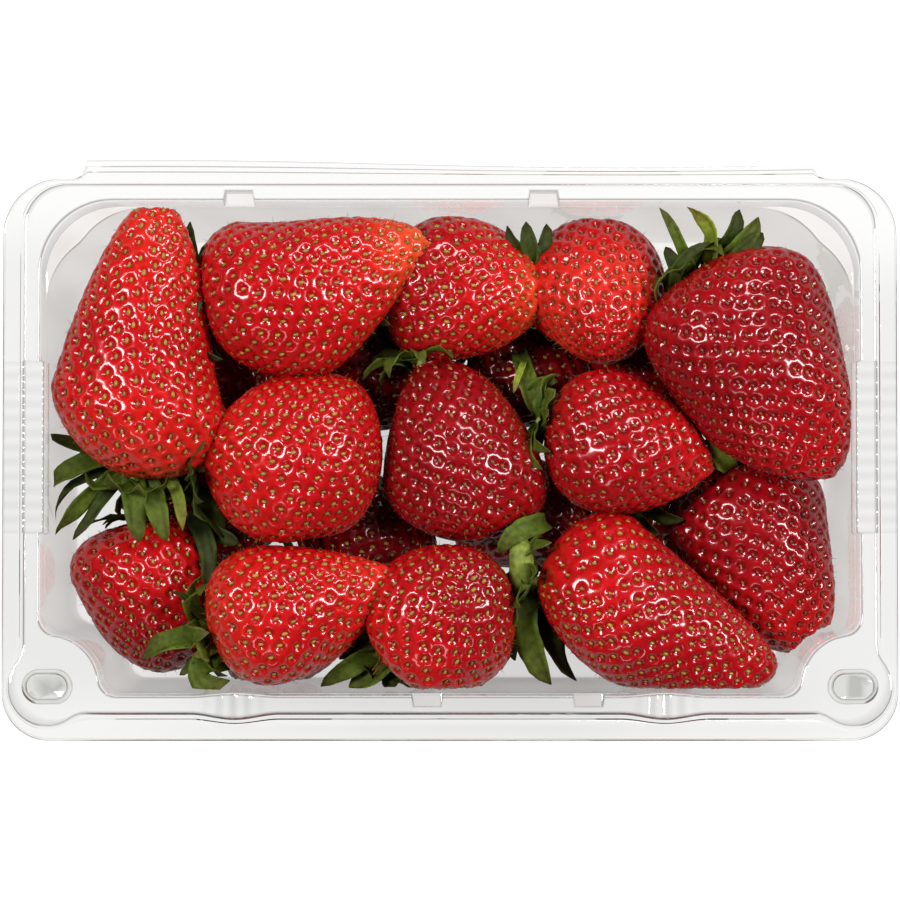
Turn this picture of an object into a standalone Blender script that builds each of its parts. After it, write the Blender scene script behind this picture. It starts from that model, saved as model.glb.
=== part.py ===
"""A clear thermoformed punnet with a heap of strawberries in it.

Blender 4.5, in metres, +Z up. The punnet stands on Z = 0, its hinge strip at the back (+Y),
and the origin is under the middle of the whole.
"""

from math import atan2, cos, hypot, pi, sin, sqrt, tau

import bmesh
import bpy
from mathutils import Matrix, Vector

MM = 0.001

# --- Driving dimensions, in millimetres -------------------------------------------------------

SHEET = 0.5  # thickness of the formed plastic
RIM_Z = 56.0  # top of the raised rim
FLANGE_Z = 52.6  # top of the flange outside the rim
SHELF_Z = 48.0  # the crescent shelves in the two back corners
FLOOR_R = 3.5  # between floor and wall
WALL_LEAN = 4.6  # how far the wall comes in from the rim down to the floor's curve

# Half width, back and front of four outlines seen from above.
CAVITY = (86.7, 53.0, 52.1)
RIDGE = (89.8, 56.2, 55.4)
FLANGE = (94.3, 57.5, 60.9)
LIP = (94.6, 57.8, 61.2)

# The section's small steps: how far inside or outside its outline each ring lies.
SHELF_IN = 0.9
INNER_WALL_IN = 0.6
EDGE_IN, EDGE_DROP = 0.2, 0.8
EDGE_OUT = 0.4
RIDGE_BEVEL = 0.5
SHELF_RISE = 0.9  # from a crescent shelf up to its rounded back
LIP_DROP = 1.3

# The hinge strip along the back, whose cut edge waves a little.
HINGE_HALF = 77.0
HINGE_BACK = 60.9
HINGE_WAVE, HINGE_CREST, HINGE_HALF_WAVE = 0.8, -63.0, 99.0
HINGE_DROP = 0.3

# Corners, each a circle round a point (u, v) away from the middle, blended into both walls.
BUTTON = (84.7, 49.8)
FRONT_NOTCH = (BUTTON, 10.7, 4.0)
BACK_NOTCH = ((86.0, 52.0), 9.4, 16.0)
RIDGE_BULGE = (BUTTON, 8.3, 6.0)
BACK_ROUND = 15.5
RIDGE_ROUND = 9.0
FLANGE_ROUND = (12.0, 10.0)  # back, front

# Straight stretches of the four sides, between the corners, and a station or two along them.
FRONT_END = 62.0
BACK_END = 62.0
SIDE_ENDS = (-27.5, 29.5)
LONG_SIDE_MIDDLE = 12.0
CORNER_POINTS = 13
FLOOR_STEPS = 3

# Pockets in the top of the wall, for the lid's lugs: their middles and their size.
BACK_POCKETS = (-44.6, 19.8)
FRONT_POCKETS = (-4.8, 29.2)
POCKET_HALF, POCKET_OUT, POCKET_Z = 2.9, 1.9, 49.2
STEP = 0.35  # how far a sharp step runs sideways

# Finger grips in the two short sides, and scalloped thumb places in the front.
GRIP_MIDDLE, GRIP_HALF, GRIP_IN, GRIP_OUT = 0.7, 18.0, 1.0, 0.4
GRIP_DROP, GRIP_EDGE_DROP = 1.5, 3.0
SCALLOPS = (-45.4, 45.4)
SCALLOP_HALF, SCALLOP_IN, SCALLOP_OUT = 9.6, 0.6, 1.1

# A snap button's top, how much its foot spreads, and how its top edge rounds off.
BUTTON_HALF = (5.1, 3.5)
BUTTON_RISE = 2.2
BUTTON_SPREAD = 0.3
BUTTON_EDGE_IN, BUTTON_EDGE_DROP = 0.1, 0.6
BUTTON_TOP_IN = 0.7
BUTTON_OVERLAP = 0.1  # into the rim's sheet, where they join

CLEARANCE = 0.35  # between the heap and the punnet
HEAP_IN = 1.7  # how far the heap keeps inside the rim's line, which clears the grips
HEAP_ROOM = 20.0  # the height over the rim that the heap may reach
VOXEL = 1.8
KEPT = 0.1  # the share of the heap's fine triangles that it keeps

# A berry's form: where it is widest from stem to tip, and how full its two ends are.
WIDEST = 0.34
SHOULDER_FULL = 2.4
TIP_SWEEP, TIP_FULL = 1.9, 1.7
BERRY_ROWS, BERRY_AROUND = 9, 14

# Each berry: stem end, tip, width and thickness. The first thirteen show from above.
TOP_BERRIES = (
    ((-67.4, -5.0, 40.0), (-61.5, 51.0, 46.0), 36.0, 32.0),
    ((-51.5, 28.5, 41.0), (-5.0, 43.5, 49.0), 34.5, 31.0),
    ((-14.0, 35.5, 36.0), (20.8, 33.8, 39.0), 30.5, 30.0),
    ((29.0, 43.0, 24.0), (33.5, 23.5, 51.0), 30.5, 30.0),
    ((52.0, 38.8, 44.0), (83.0, -2.5, 45.0), 36.5, 32.0),
    ((-52.5, -3.0, 42.0), (-14.5, 3.0, 42.0), 36.5, 32.0),
    ((-6.5, 19.5, 39.0), (8.5, -18.5, 38.0), 33.5, 31.0),
    ((20.5, 6.0, 42.0), (56.5, -3.0, 41.0), 29.5, 28.0),
    ((62.0, -1.0, 25.0), (75.0, -41.0, 31.0), 33.5, 31.0),
    ((-66.0, -14.0, 24.0), (-64.5, -45.0, 25.0), 31.0, 30.0),
    ((-51.5, -36.0, 40.0), (-11.5, -26.5, 45.0), 30.5, 30.0),
    ((-9.0, -43.0, 33.0), (8.0, -26.5, 52.0), 30.5, 30.0),
    ((18.5, -27.0, 42.0), (69.0, -44.5, 40.0), 35.0, 31.0),
)
LOWER_BERRIES = (
    ((-62.0, 30.0, 15.0), (-68.0, 3.0, 15.0), 24.0, 26.0),
    ((-63.0, 20.0, 16.0), (-33.0, 13.0, 17.0), 27.0, 28.0),
    ((-28.0, 24.0, 16.0), (0.0, 14.0, 17.0), 27.0, 28.0),
    ((4.0, 22.0, 17.0), (32.0, 15.0, 16.0), 25.0, 28.0),
    ((34.0, 34.0, 15.0), (59.0, 12.0, 17.0), 28.0, 28.0),
    ((-66.0, -4.0, 15.0), (-38.0, -17.0, 17.0), 25.0, 28.0),
    ((-32.0, -12.0, 16.0), (-3.0, -21.0, 18.0), 26.0, 28.0),
    ((2.0, -8.0, 15.0), (31.0, -17.0, 17.0), 26.0, 28.0),
    ((38.0, -8.0, 16.0), (60.0, -26.0, 15.0), 27.0, 27.0),
    ((-50.0, -38.0, 15.0), (-22.0, -38.0, 14.0), 24.0, 26.0),
    ((56.0, -36.0, 14.0), (26.0, -38.0, 14.0), 22.0, 25.0),
    ((74.0, 34.0, 15.0), (72.0, 6.0, 15.0), 25.0, 27.0),
)
CORE = ((-66.0, -36.0, 8.0), (68.0, 36.0, 42.0))  # joins the berries inside the heap


# --- Scene ------------------------------------------------------------------------------------


def clear_scene():
    for old in list(bpy.data.objects):
        bpy.data.objects.remove(old)
    for old in list(bpy.data.collections):
        bpy.data.collections.remove(old)


def new_collection(name):
    group = bpy.data.collections.new(name)
    bpy.context.scene.collection.children.link(group)
    return group


def new_object(name, mesh, group):
    piece = bpy.data.objects.new(name, mesh)
    group.objects.link(piece)
    return piece


def plain_material(name, colour, roughness, alpha=1.0):
    material = bpy.data.materials.new(name)
    material.use_nodes = True
    shader = material.node_tree.nodes["Principled BSDF"]
    shader.inputs["Base Color"].default_value = (*colour, 1)
    shader.inputs["Roughness"].default_value = roughness
    shader.inputs["Metallic"].default_value = 0
    shader.inputs["Alpha"].default_value = alpha
    return material


def as_cutter(piece):
    piece.hide_render = True
    piece.display_type = "WIRE"


def combine(piece, other, operation):
    modifier = piece.modifiers.new(other.name, "BOOLEAN")
    modifier.operation = operation
    modifier.object = other
    as_cutter(other)


# --- Outlines, as points (u, v) outward from the middle of one corner's quarter ------------------


def arc(centre, radius, start, end, turn):
    """Points along an arc from one angle to another, turning +1 anticlockwise or -1 clockwise."""
    sweep = (end - start) * turn % tau
    count = max(2, round(sweep / (pi / 24)))
    angles = [start + turn * sweep * i / count for i in range(count + 1)]
    return [(centre[0] + radius * cos(a), centre[1] + radius * sin(a)) for a in angles]


def circled_corner(u_wall, v_wall, circle, side):
    """A corner that follows a circle, with a fillet into each wall: side +1 cuts into the cavity
    round the circle, and -1 bulges out round it."""
    (cu, cv), radius, fillet = circle
    reach = radius + fillet
    first = (cu - sqrt(reach**2 - (v_wall - side * fillet - cv) ** 2), v_wall - side * fillet)
    last = (u_wall - side * fillet, cv - sqrt(reach**2 - (u_wall - side * fillet - cu) ** 2))
    from_first = atan2(cv - first[1], cu - first[0])
    from_last = atan2(cv - last[1], cu - last[0])
    points = arc(first, fillet, side * pi / 2, from_first, -side)
    points += arc((cu, cv), radius, from_first + pi, from_last + pi, side)
    points += arc(last, fillet, from_last, 0 if side > 0 else pi, -side)
    return points


def round_corner(u_wall, v_wall, radius):
    return arc((u_wall - radius, v_wall - radius), radius, pi / 2, 0, -1)


def spaced(points, count):
    """The points of a path between its ends, at equal steps along it."""
    lengths = [0.0]
    for a, b in zip(points, points[1:]):
        lengths.append(lengths[-1] + hypot(b[0] - a[0], b[1] - a[1]))
    found = []
    k = 0
    for i in range(1, count + 1):
        want = lengths[-1] * i / (count + 1)
        while lengths[k + 1] < want:
            k += 1
        part = (want - lengths[k]) / (lengths[k + 1] - lengths[k])
        a, b = points[k], points[k + 1]
        found.append((a[0] + (b[0] - a[0]) * part, a[1] + (b[1] - a[1]) * part))
    return found


# --- Stations along the straight sides ----------------------------------------------------------


def stepped(middles, half):
    """Stations at both ends of each feature and just outside them."""
    return [m + s * (half + d) for m in middles for s in (-1, 1) for d in (0, STEP)]


def front_stations():
    waves = [m + SCALLOP_HALF * k / 4 for m in SCALLOPS for k in range(-4, 5)]
    plain = [-FRONT_END, LONG_SIDE_MIDDLE, FRONT_END]
    return sorted(plain + stepped(FRONT_POCKETS, POCKET_HALF) + waves)


def back_stations():
    plain = [-BACK_END, -LONG_SIDE_MIDDLE, BACK_END]
    return sorted(plain + stepped(BACK_POCKETS, POCKET_HALF))


def side_stations():
    grip = stepped([GRIP_MIDDLE], GRIP_HALF)
    inner = [GRIP_MIDDLE + GRIP_HALF * k / 3 for k in (-2, 0, 2)]
    return sorted(list(SIDE_ENDS) + grip + inner)


def within(position, middles, half):
    return any(abs(position - m) <= half + 1e-6 for m in middles)


def wave(position, middles, half):
    """A smooth bump from 0 to 1 over each middle."""
    gap = min(abs(position - m) for m in middles)
    return 0.5 + 0.5 * cos(pi * min(1, gap / half))


# --- Punnet -----------------------------------------------------------------------------------


class Ring:
    """One closed loop of the formed sheet. Its role says how the pockets, grips and scallops
    move it."""

    def __init__(self, outline, out, z, corners, role=""):
        self.half_width, self.back, self.front = (size + out for size in outline)
        self.out = out
        self.z = z
        self.corners = corners
        self.role = role

    def corner(self, v_wall, at_back):
        """The path of a corner, from the long side's last station to the short side's."""
        start = (BACK_END if at_back else FRONT_END, v_wall)
        end = (self.half_width, SIDE_ENDS[1] if at_back else -SIDE_ENDS[0])
        kind = self.corners[0 if at_back else 1]
        if kind[0] == "round":
            middle = round_corner(self.half_width, v_wall, kind[1])
        elif kind[0] == "notch":
            centre, radius, fillet = kind[1]
            middle = circled_corner(self.half_width, v_wall, (centre, radius - self.out, fillet), 1)
        elif kind[0] == "bulge":
            centre, radius, fillet = kind[1]
            middle = circled_corner(self.half_width, v_wall, (centre, radius + self.out, fillet), -1)
        else:
            middle = hinge_end(self.half_width, v_wall)
        return spaced([start] + middle + [end], CORNER_POINTS)

    def pocket(self, x, middles):
        """How far a pocket moves this ring outwards."""
        if self.role in ("inside", "edge", "corner") and within(x, middles, POCKET_HALF):
            return POCKET_OUT - self.out
        return 0.0

    def front_point(self, x):
        out = self.pocket(x, FRONT_POCKETS)
        bump = wave(x, SCALLOPS, SCALLOP_HALF)
        if self.role in ("edge", "corner", "inside"):
            out -= SCALLOP_IN * bump
        if self.role in ("rim", "ridge", "foot"):
            out += SCALLOP_OUT * bump
        return (x, -(self.front + out), self.z)

    def back_point(self, x):
        if self.role == "cut edge":
            swing = pi * (x - HINGE_CREST) / HINGE_HALF_WAVE
            return (x, self.back + HINGE_WAVE * cos(swing), self.z + LIP_DROP - HINGE_DROP)
        return (x, self.back + self.pocket(x, BACK_POCKETS), self.z)

    def side_point(self, y, side):
        out, rise = 0.0, 0.0
        if within(y, [GRIP_MIDDLE], GRIP_HALF):
            if self.role in ("edge", "corner", "inside"):
                out = -GRIP_IN
            if self.role in ("rim", "ridge"):
                out = GRIP_OUT
            if self.role in ("corner", "inside", "rim", "ridge"):
                rise = -GRIP_DROP
            if self.role == "edge":
                rise = -GRIP_EDGE_DROP
        return (side * (self.half_width + out), y, self.z + rise)

    def strip_end(self, x, y):
        """A point of a back corner, which the hinge strip lifts and waves as far as it goes."""
        part = (y - LIP[1]) / (HINGE_BACK - LIP[1])
        if self.role != "cut edge" or part <= 0:
            return (x, y, self.z)
        edge = self.back_point(x)
        return (x, LIP[1] + part * (edge[1] - LIP[1]), self.z + part * (edge[2] - self.z))

    def points(self):
        """All round, anticlockwise seen from above, from the front's left end."""
        front, back = self.corner(self.front, False), self.corner(self.back, True)
        found = [self.front_point(x) for x in front_stations()]
        found += [(u, -v, self.z) for u, v in front]
        found += [self.side_point(y, 1) for y in side_stations()]
        found += [self.strip_end(u, v) for u, v in reversed(back)]
        found += [self.back_point(x) for x in reversed(back_stations())]
        found += [self.strip_end(-u, v) for u, v in back]
        found += [self.side_point(y, -1) for y in reversed(side_stations())]
        found += [(-u, -v, self.z) for u, v in reversed(front)]
        return found


def hinge_end(u_wall, v_wall):
    """The cut edge's corner: along the strip, round its hollow end, and on round the flange."""
    fillet = v_wall - LIP[1]
    end = arc((HINGE_HALF + fillet, v_wall), fillet, pi, 1.5 * pi, 1)
    return end + round_corner(u_wall, LIP[1], FLANGE_ROUND[0])


def punnet_rings():
    notched = (("notch", BACK_NOTCH), ("notch", FRONT_NOTCH))
    open_top = (("round", BACK_ROUND), ("notch", FRONT_NOTCH))
    ridge = (("round", RIDGE_ROUND), ("bulge", RIDGE_BULGE))
    flange = (("round", FLANGE_ROUND[0]), ("round", FLANGE_ROUND[1]))
    cut_edge = (("hinge",), ("round", FLANGE_ROUND[1]))
    rings = []
    for step in range(FLOOR_STEPS):
        angle = pi / 2 * step / (FLOOR_STEPS - 1)
        into = WALL_LEAN + FLOOR_R * (1 - sin(angle))
        rings.append(Ring(CAVITY, -into, SHEET + FLOOR_R * (1 - cos(angle)), notched))
    rings.append(Ring(CAVITY, -SHELF_IN, SHELF_Z, notched))
    rings.append(Ring(CAVITY, -INNER_WALL_IN, SHELF_Z + SHELF_RISE, open_top))
    rings.append(Ring(CAVITY, -INNER_WALL_IN, POCKET_Z, open_top, "inside"))
    rings.append(Ring(CAVITY, -EDGE_IN, RIM_Z - EDGE_DROP, open_top, "edge"))
    rings.append(Ring(CAVITY, EDGE_OUT, RIM_Z, open_top, "corner"))
    rings.append(Ring(RIDGE, -RIDGE_BEVEL, RIM_Z, ridge, "rim"))
    rings.append(Ring(RIDGE, 0.0, RIM_Z - RIDGE_BEVEL, ridge, "ridge"))
    rings.append(Ring(RIDGE, RIDGE_BEVEL, FLANGE_Z, ridge, "foot"))
    rings.append(Ring(FLANGE, 0.0, FLANGE_Z, flange))
    lip = Ring(LIP, 0.0, FLANGE_Z - LIP_DROP, cut_edge, "cut edge")
    lip.back = HINGE_BACK
    rings.append(lip)
    return rings


def loft(rings, name):
    """One open surface through the rings, with a face over the first, its normals up and inward."""
    mesh = bpy.data.meshes.new(name)
    shape = bmesh.new()
    loops = [[shape.verts.new(Vector(p) * MM) for p in ring] for ring in rings]
    shape.faces.new(loops[0])
    count = len(loops[0])
    for low, high in zip(loops, loops[1:]):
        for i in range(count):
            j = (i + 1) % count
            shape.faces.new((low[i], high[i], high[j], low[j]))
    shape.to_mesh(mesh)
    shape.free()
    return mesh


def closed_solid(rings, name, group):
    """A loft closed over its last ring as well, with its normals outward."""
    mesh = loft(rings, name)
    shape = bmesh.new()
    shape.from_mesh(mesh)
    bmesh.ops.holes_fill(shape, edges=shape.edges, sides=0)
    bmesh.ops.recalc_face_normals(shape, faces=shape.faces)
    shape.to_mesh(mesh)
    shape.free()
    return new_object(name, mesh, group)


def stadium(centre, grow, z, count=10):
    """A button's rounded outline, anticlockwise from above."""
    radius = BUTTON_HALF[1] + grow
    reach = BUTTON_HALF[0] - BUTTON_HALF[1]
    points = []
    for side, start in ((1, -pi / 2), (-1, pi / 2)):
        for i in range(count + 1):
            angle = start + pi * i / count
            x = centre[0] + side * reach + radius * cos(angle)
            points.append((x, centre[1] + radius * sin(angle), z))
    return points


def button_solid(name, side, shrink, low, group):
    """A snap button's body: a rounded bar that narrows a little to its top."""
    centre = (side * BUTTON[0], -BUTTON[1])
    top = RIM_Z + BUTTON_RISE - shrink
    levels = (
        (BUTTON_SPREAD, low),
        (BUTTON_SPREAD, RIM_Z - shrink),
        (-BUTTON_EDGE_IN, top - BUTTON_EDGE_DROP),
        (-BUTTON_TOP_IN, top),
    )
    rings = [stadium(centre, grow - shrink, z) for grow, z in levels]
    return closed_solid(rings, name, group)


def make_punnet(group, helpers):
    mesh = loft([ring.points() for ring in punnet_rings()], "punnet")
    punnet = new_object("punnet", mesh, group)
    sheet = punnet.modifiers.new("Sheet", "SOLIDIFY")
    sheet.thickness = SHEET * MM
    sheet.offset = -1
    sheet.use_even_offset = False
    for side, word in ((-1, "left"), (1, "right")):
        foot = RIM_Z - SHEET + BUTTON_OVERLAP
        body = button_solid("button_" + word, side, 0.0, foot, helpers)
        combine(punnet, body, "UNION")
        hollow = button_solid("button_hollow_" + word, side, SHEET, foot - 2 * SHEET, helpers)
        combine(punnet, hollow, "DIFFERENCE")
    punnet.data.materials.append(plain_material("Clear PET", (0.9, 0.93, 0.93), 0.05, 0.25))
    return punnet


# --- Strawberry heap ----------------------------------------------------------------------------


def berry_radius(t):
    """A berry's half width from stem (0) to tip (1), beside its greatest."""
    if t < WIDEST:
        return max(0.0, 1 - (1 - t / WIDEST) ** SHOULDER_FULL) ** (1 / SHOULDER_FULL)
    return max(0.0, 1 - ((t - WIDEST) / (1 - WIDEST)) ** TIP_SWEEP) ** (1 / TIP_FULL)


def add_berry(shape, stem, tip, width, thickness):
    """A closed berry between two points, flattened to its thickness."""
    stem, tip = Vector(stem), Vector(tip)
    axis = (tip - stem).normalized()
    across = Vector((-axis.y, axis.x, 0)).normalized()
    up = axis.cross(across)
    loops = []
    for row in range(1, BERRY_ROWS):
        t = 0.5 - 0.5 * cos(pi * row / BERRY_ROWS)
        radius = berry_radius(t)
        middle = stem.lerp(tip, t)
        loop = []
        for i in range(BERRY_AROUND):
            angle = tau * i / BERRY_AROUND
            side = across * (width / 2 * cos(angle)) + up * (thickness / 2 * sin(angle))
            loop.append(shape.verts.new((middle + side * radius) * MM))
        loops.append(loop)
    ends = shape.verts.new(stem * MM), shape.verts.new(tip * MM)
    for i in range(BERRY_AROUND):
        j = (i + 1) % BERRY_AROUND
        shape.faces.new((ends[0], loops[0][j], loops[0][i]))
        shape.faces.new((ends[1], loops[-1][i], loops[-1][j]))
        for low, high in zip(loops, loops[1:]):
            shape.faces.new((low[i], low[j], high[j], high[i]))


def inside_of_punnet(group):
    """The space that the heap may fill: the cavity less a little clearance."""
    levels = [(ring.out, ring.z, ring.corners) for ring in punnet_rings()[:FLOOR_STEPS]]
    for z in (SHELF_Z, RIM_Z + HEAP_ROOM):
        levels.append((-HEAP_IN, z, levels[0][2]))
    rings = [Ring(CAVITY, out - CLEARANCE, z + CLEARANCE, corners) for out, z, corners in levels]
    return closed_solid([ring.points() for ring in rings], "clear_space", group)


def make_heap(group, helpers):
    mesh = bpy.data.meshes.new("strawberry_heap")
    shape = bmesh.new()
    for berry in TOP_BERRIES + LOWER_BERRIES:
        add_berry(shape, *berry)
    low, high = (Vector(corner) * MM for corner in CORE)
    placing = Matrix.Translation((low + high) / 2) @ Matrix.Diagonal((*(high - low), 1))
    bmesh.ops.create_cube(shape, size=1, matrix=placing)
    bmesh.ops.recalc_face_normals(shape, faces=shape.faces)
    shape.to_mesh(mesh)
    shape.free()
    heap = new_object("strawberry_heap", mesh, group)
    joined = heap.modifiers.new("Joined", "REMESH")
    joined.mode = "VOXEL"
    joined.voxel_size = VOXEL * MM
    joined.adaptivity = 0
    fewer = heap.modifiers.new("Fewer", "DECIMATE")
    fewer.ratio = KEPT
    combine(heap, inside_of_punnet(helpers), "INTERSECT")
    heap.data.materials.append(plain_material("Ripe strawberry", (0.55, 0.02, 0.03), 0.35))
    return heap


def main():
    clear_scene()
    group = new_collection("Punnet of strawberries")
    helpers = new_collection("Cutters")
    make_punnet(group, helpers)
    make_heap(group, helpers)


main()
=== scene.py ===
# %% [markdown]
# # A punnet of strawberries
#
# The real object is a clear plastic tray, formed from one thin sheet, with about two dozen ripe
# strawberries lying in it in two layers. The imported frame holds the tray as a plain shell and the
# fruit as one lumpy solid. Here the tray becomes a fine sheet with its creases, flutes and buttons,
# and the lump becomes whole berries with their seeds, hairs and leaves. Everything stays in the
# frame's own space, so nothing has to be fitted afterwards.

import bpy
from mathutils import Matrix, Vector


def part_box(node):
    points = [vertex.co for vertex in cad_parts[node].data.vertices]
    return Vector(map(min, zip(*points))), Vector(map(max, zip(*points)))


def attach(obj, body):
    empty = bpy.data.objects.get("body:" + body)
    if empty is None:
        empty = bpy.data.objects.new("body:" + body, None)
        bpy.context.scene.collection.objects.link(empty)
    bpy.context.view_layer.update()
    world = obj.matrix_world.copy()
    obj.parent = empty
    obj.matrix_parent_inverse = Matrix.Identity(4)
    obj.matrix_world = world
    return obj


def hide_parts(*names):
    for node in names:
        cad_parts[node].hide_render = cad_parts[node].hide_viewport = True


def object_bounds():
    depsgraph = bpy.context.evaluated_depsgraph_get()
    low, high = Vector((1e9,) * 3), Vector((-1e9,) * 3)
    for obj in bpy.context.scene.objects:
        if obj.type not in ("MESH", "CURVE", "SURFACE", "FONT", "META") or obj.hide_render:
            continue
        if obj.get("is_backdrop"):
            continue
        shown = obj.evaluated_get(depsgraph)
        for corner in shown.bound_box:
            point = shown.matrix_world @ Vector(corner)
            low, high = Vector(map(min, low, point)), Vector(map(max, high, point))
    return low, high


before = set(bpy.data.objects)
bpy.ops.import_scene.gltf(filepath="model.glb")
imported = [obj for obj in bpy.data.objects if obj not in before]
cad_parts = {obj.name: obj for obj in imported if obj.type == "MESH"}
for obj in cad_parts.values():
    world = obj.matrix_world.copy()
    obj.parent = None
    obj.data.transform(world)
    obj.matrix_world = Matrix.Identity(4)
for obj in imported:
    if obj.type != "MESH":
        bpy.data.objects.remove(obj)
cad_low, cad_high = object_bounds()
print("frame from", [round(v, 4) for v in cad_low], "to", [round(v, 4) for v in cad_high])

# %% [markdown]
# ## Units, colours and nodes
#
# Lengths below are in millimetres, because a maker measures a punnet in millimetres, and one
# constant turns them to Blender's metres. Colours are sRGB hex codes, as a colour picker shows
# them, but shaders work in linear light, so one function converts them. One more function adds a
# shader node: settings go on the node, and each input takes either a value or another node's output.

# %% Units, colours and nodes
import math

import bpy
import numpy as np
from mathutils import Vector
from mathutils.geometry import delaunay_2d_cdt

MM = 0.001
TURN = 2 * math.pi


def colour(code):
    """An sRGB hex colour as the linear colour that a shader takes."""
    channels = [int(code[i:i + 2], 16) / 255 for i in (1, 3, 5)]
    return (*[c / 12.92 if c <= 0.04045 else ((c + 0.055) / 1.055) ** 2.4 for c in channels], 1)


def add_node(tree, kind, settings, inputs):
    """A new node with its settings, its inputs set to values or linked to outputs."""
    node = tree.nodes.new(kind)
    for name, value in settings.items():
        setattr(node, name, value)
    for name, value in inputs.items():
        if isinstance(value, bpy.types.NodeSocket):
            tree.links.new(value, node.inputs[name])
        else:
            node.inputs[name].default_value = value
    return node


def new_material(name):
    """A material with an empty node tree, and that tree."""
    material = bpy.data.materials.new(name)
    material.use_nodes = True
    material.node_tree.nodes.clear()
    return material, material.node_tree


print("red in linear light:", [round(c, 3) for c in colour("#c00810")])

# %% [markdown]
# ## Camera
#
# The punnet is seen from almost straight above, as on a packing table. A long lens from more than
# a metre away keeps the walls' perspective small, so that the inside of every wall is a thin band.

# %% Camera
CAMERA_TILT = 87.2  # degrees above the horizon
CAMERA_REACH = 1.190  # metres from the rim
RIM_Z = 56.0

look_at = Vector((0, 0, RIM_Z * MM))
tilt = math.radians(CAMERA_TILT)
towards_camera = Vector((0, -math.cos(tilt), math.sin(tilt)))
lens = bpy.data.cameras.new("camera")
lens.lens = 226
lens.sensor_width = 36
camera = bpy.data.objects.new("camera", lens)
camera.location = look_at + towards_camera * CAMERA_REACH
camera.rotation_euler = (-towards_camera).to_track_quat("-Z", "Y").to_euler()
bpy.context.scene.collection.objects.link(camera)
bpy.context.scene.camera = camera
print("camera at", [round(v, 3) for v in camera.location])

# %% [markdown]
# ## Floor and light
#
# A studio shot of fruit uses a white table and large diffusers. Soft light from above fills the
# berries, and two narrow diffusers low on the left and at the back leave the small sharp glints
# that make fruit look fresh. Clear plastic shows mostly by what it reflects, so the room around
# is darker than the table: a white room would make the tray vanish.

# %% Floor and light
FLOOR_HALF = 30.0  # metres
TABLE_GLOW, TABLE_SPILL = 0.76, 0.13
ROOM_LIGHT = 0.03
MIRROR_LOSS = 0.45  # how much of the room's light a mirroring inside clear sheet loses


def seen_directly(tree):
    """1 for rays that arrive straight, through clear sheet or mirrored inside it, and 0 for others."""
    rays = add_node(tree, "ShaderNodeLightPath", {}, {})
    inside = add_node(tree, "ShaderNodeMath", {"operation": "MODULO"}, {
        0: rays.outputs["Transmission Depth"], 1: 2.0})
    mirrored = add_node(tree, "ShaderNodeMath", {"operation": "MULTIPLY_ADD", "use_clamp": True}, {
        0: rays.outputs["Is Glossy Ray"], 1: inside.outputs["Value"], 2: rays.outputs["Is Transmission Ray"]})
    seen = add_node(tree, "ShaderNodeMath", {"operation": "ADD", "use_clamp": True}, {
        0: rays.outputs["Is Camera Ray"], 1: mirrored.outputs["Value"]})
    once = add_node(tree, "ShaderNodeMath", {"operation": "MINIMUM"}, {0: rays.outputs["Glossy Depth"], 1: 1.0})
    damped = add_node(tree, "ShaderNodeMath", {"operation": "MULTIPLY_ADD"}, {
        0: once.outputs["Value"], 1: -MIRROR_LOSS, 2: 1.0})
    strength = add_node(tree, "ShaderNodeMath", {"operation": "MULTIPLY"}, {
        0: seen.outputs["Value"], 1: damped.outputs["Value"]})
    return strength.outputs["Value"]


floor_material, tree = new_material("white_light_table")
glow = add_node(tree, "ShaderNodeMapRange", {}, {
    "Value": seen_directly(tree), "To Min": TABLE_SPILL, "To Max": TABLE_GLOW})
paint = add_node(tree, "ShaderNodeBsdfPrincipled", {}, {
    "Base Color": colour("#8c8c8c"), "Roughness": 0.9, "Specular IOR Level": 0.1,
    "Emission Color": colour("#ffffff"), "Emission Strength": glow.outputs["Result"]})
add_node(tree, "ShaderNodeOutputMaterial", {}, {"Surface": paint.outputs["BSDF"]})
floor_mesh = bpy.data.meshes.new("floor")
corners = [(sx * FLOOR_HALF, sy * FLOOR_HALF, 0) for sx, sy in ((-1, -1), (1, -1), (1, 1), (-1, 1))]
floor_mesh.from_pydata(corners, [], [(0, 1, 2, 3)])
floor_mesh.materials.append(floor_material)
floor = bpy.data.objects.new("floor", floor_mesh)
bpy.context.scene.collection.objects.link(floor)
floor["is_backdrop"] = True

# name, place in metres, width and height in metres, watts
LAMPS = (
    ("left_diffuser", (-0.80, 0.20, 1.10), (0.30, 0.62), 16.5),
    ("back_diffuser", (0.35, 1.00, 0.95), (0.60, 0.24), 8.5),
    ("right_diffuser", (0.90, 0.05, 0.95), (0.26, 0.56), 14.5),
    ("front_diffuser", (-0.20, -1.05, 0.75), (0.5, 0.22), 2.0),
)
for name, place, size, watts in LAMPS:
    lamp = bpy.data.lights.new(name, "AREA")
    lamp.shape = "RECTANGLE"
    lamp.size, lamp.size_y = size
    lamp.energy = watts
    shade = bpy.data.objects.new(name, lamp)
    shade.location = place
    shade.rotation_euler = (look_at - Vector(place)).to_track_quat("-Z", "Y").to_euler()
    bpy.context.scene.collection.objects.link(shade)

room = bpy.data.worlds.new("studio_room")
room.use_nodes = True
tree = room.node_tree
tree.nodes.clear()
dim = add_node(tree, "ShaderNodeBackground", {}, {"Color": colour("#ffffff"), "Strength": ROOM_LIGHT})
pale = add_node(tree, "ShaderNodeBackground", {}, {"Color": colour("#ffffff"), "Strength": 0.95})
either = add_node(tree, "ShaderNodeMixShader", {}, {
    0: seen_directly(tree), 1: dim.outputs["Background"], 2: pale.outputs["Background"]})
add_node(tree, "ShaderNodeOutputWorld", {}, {"Surface": either.outputs["Shader"]})
bpy.context.scene.world = room
bpy.context.scene.view_settings.view_transform = "Standard"
print(len(LAMPS), "lamps")

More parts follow.
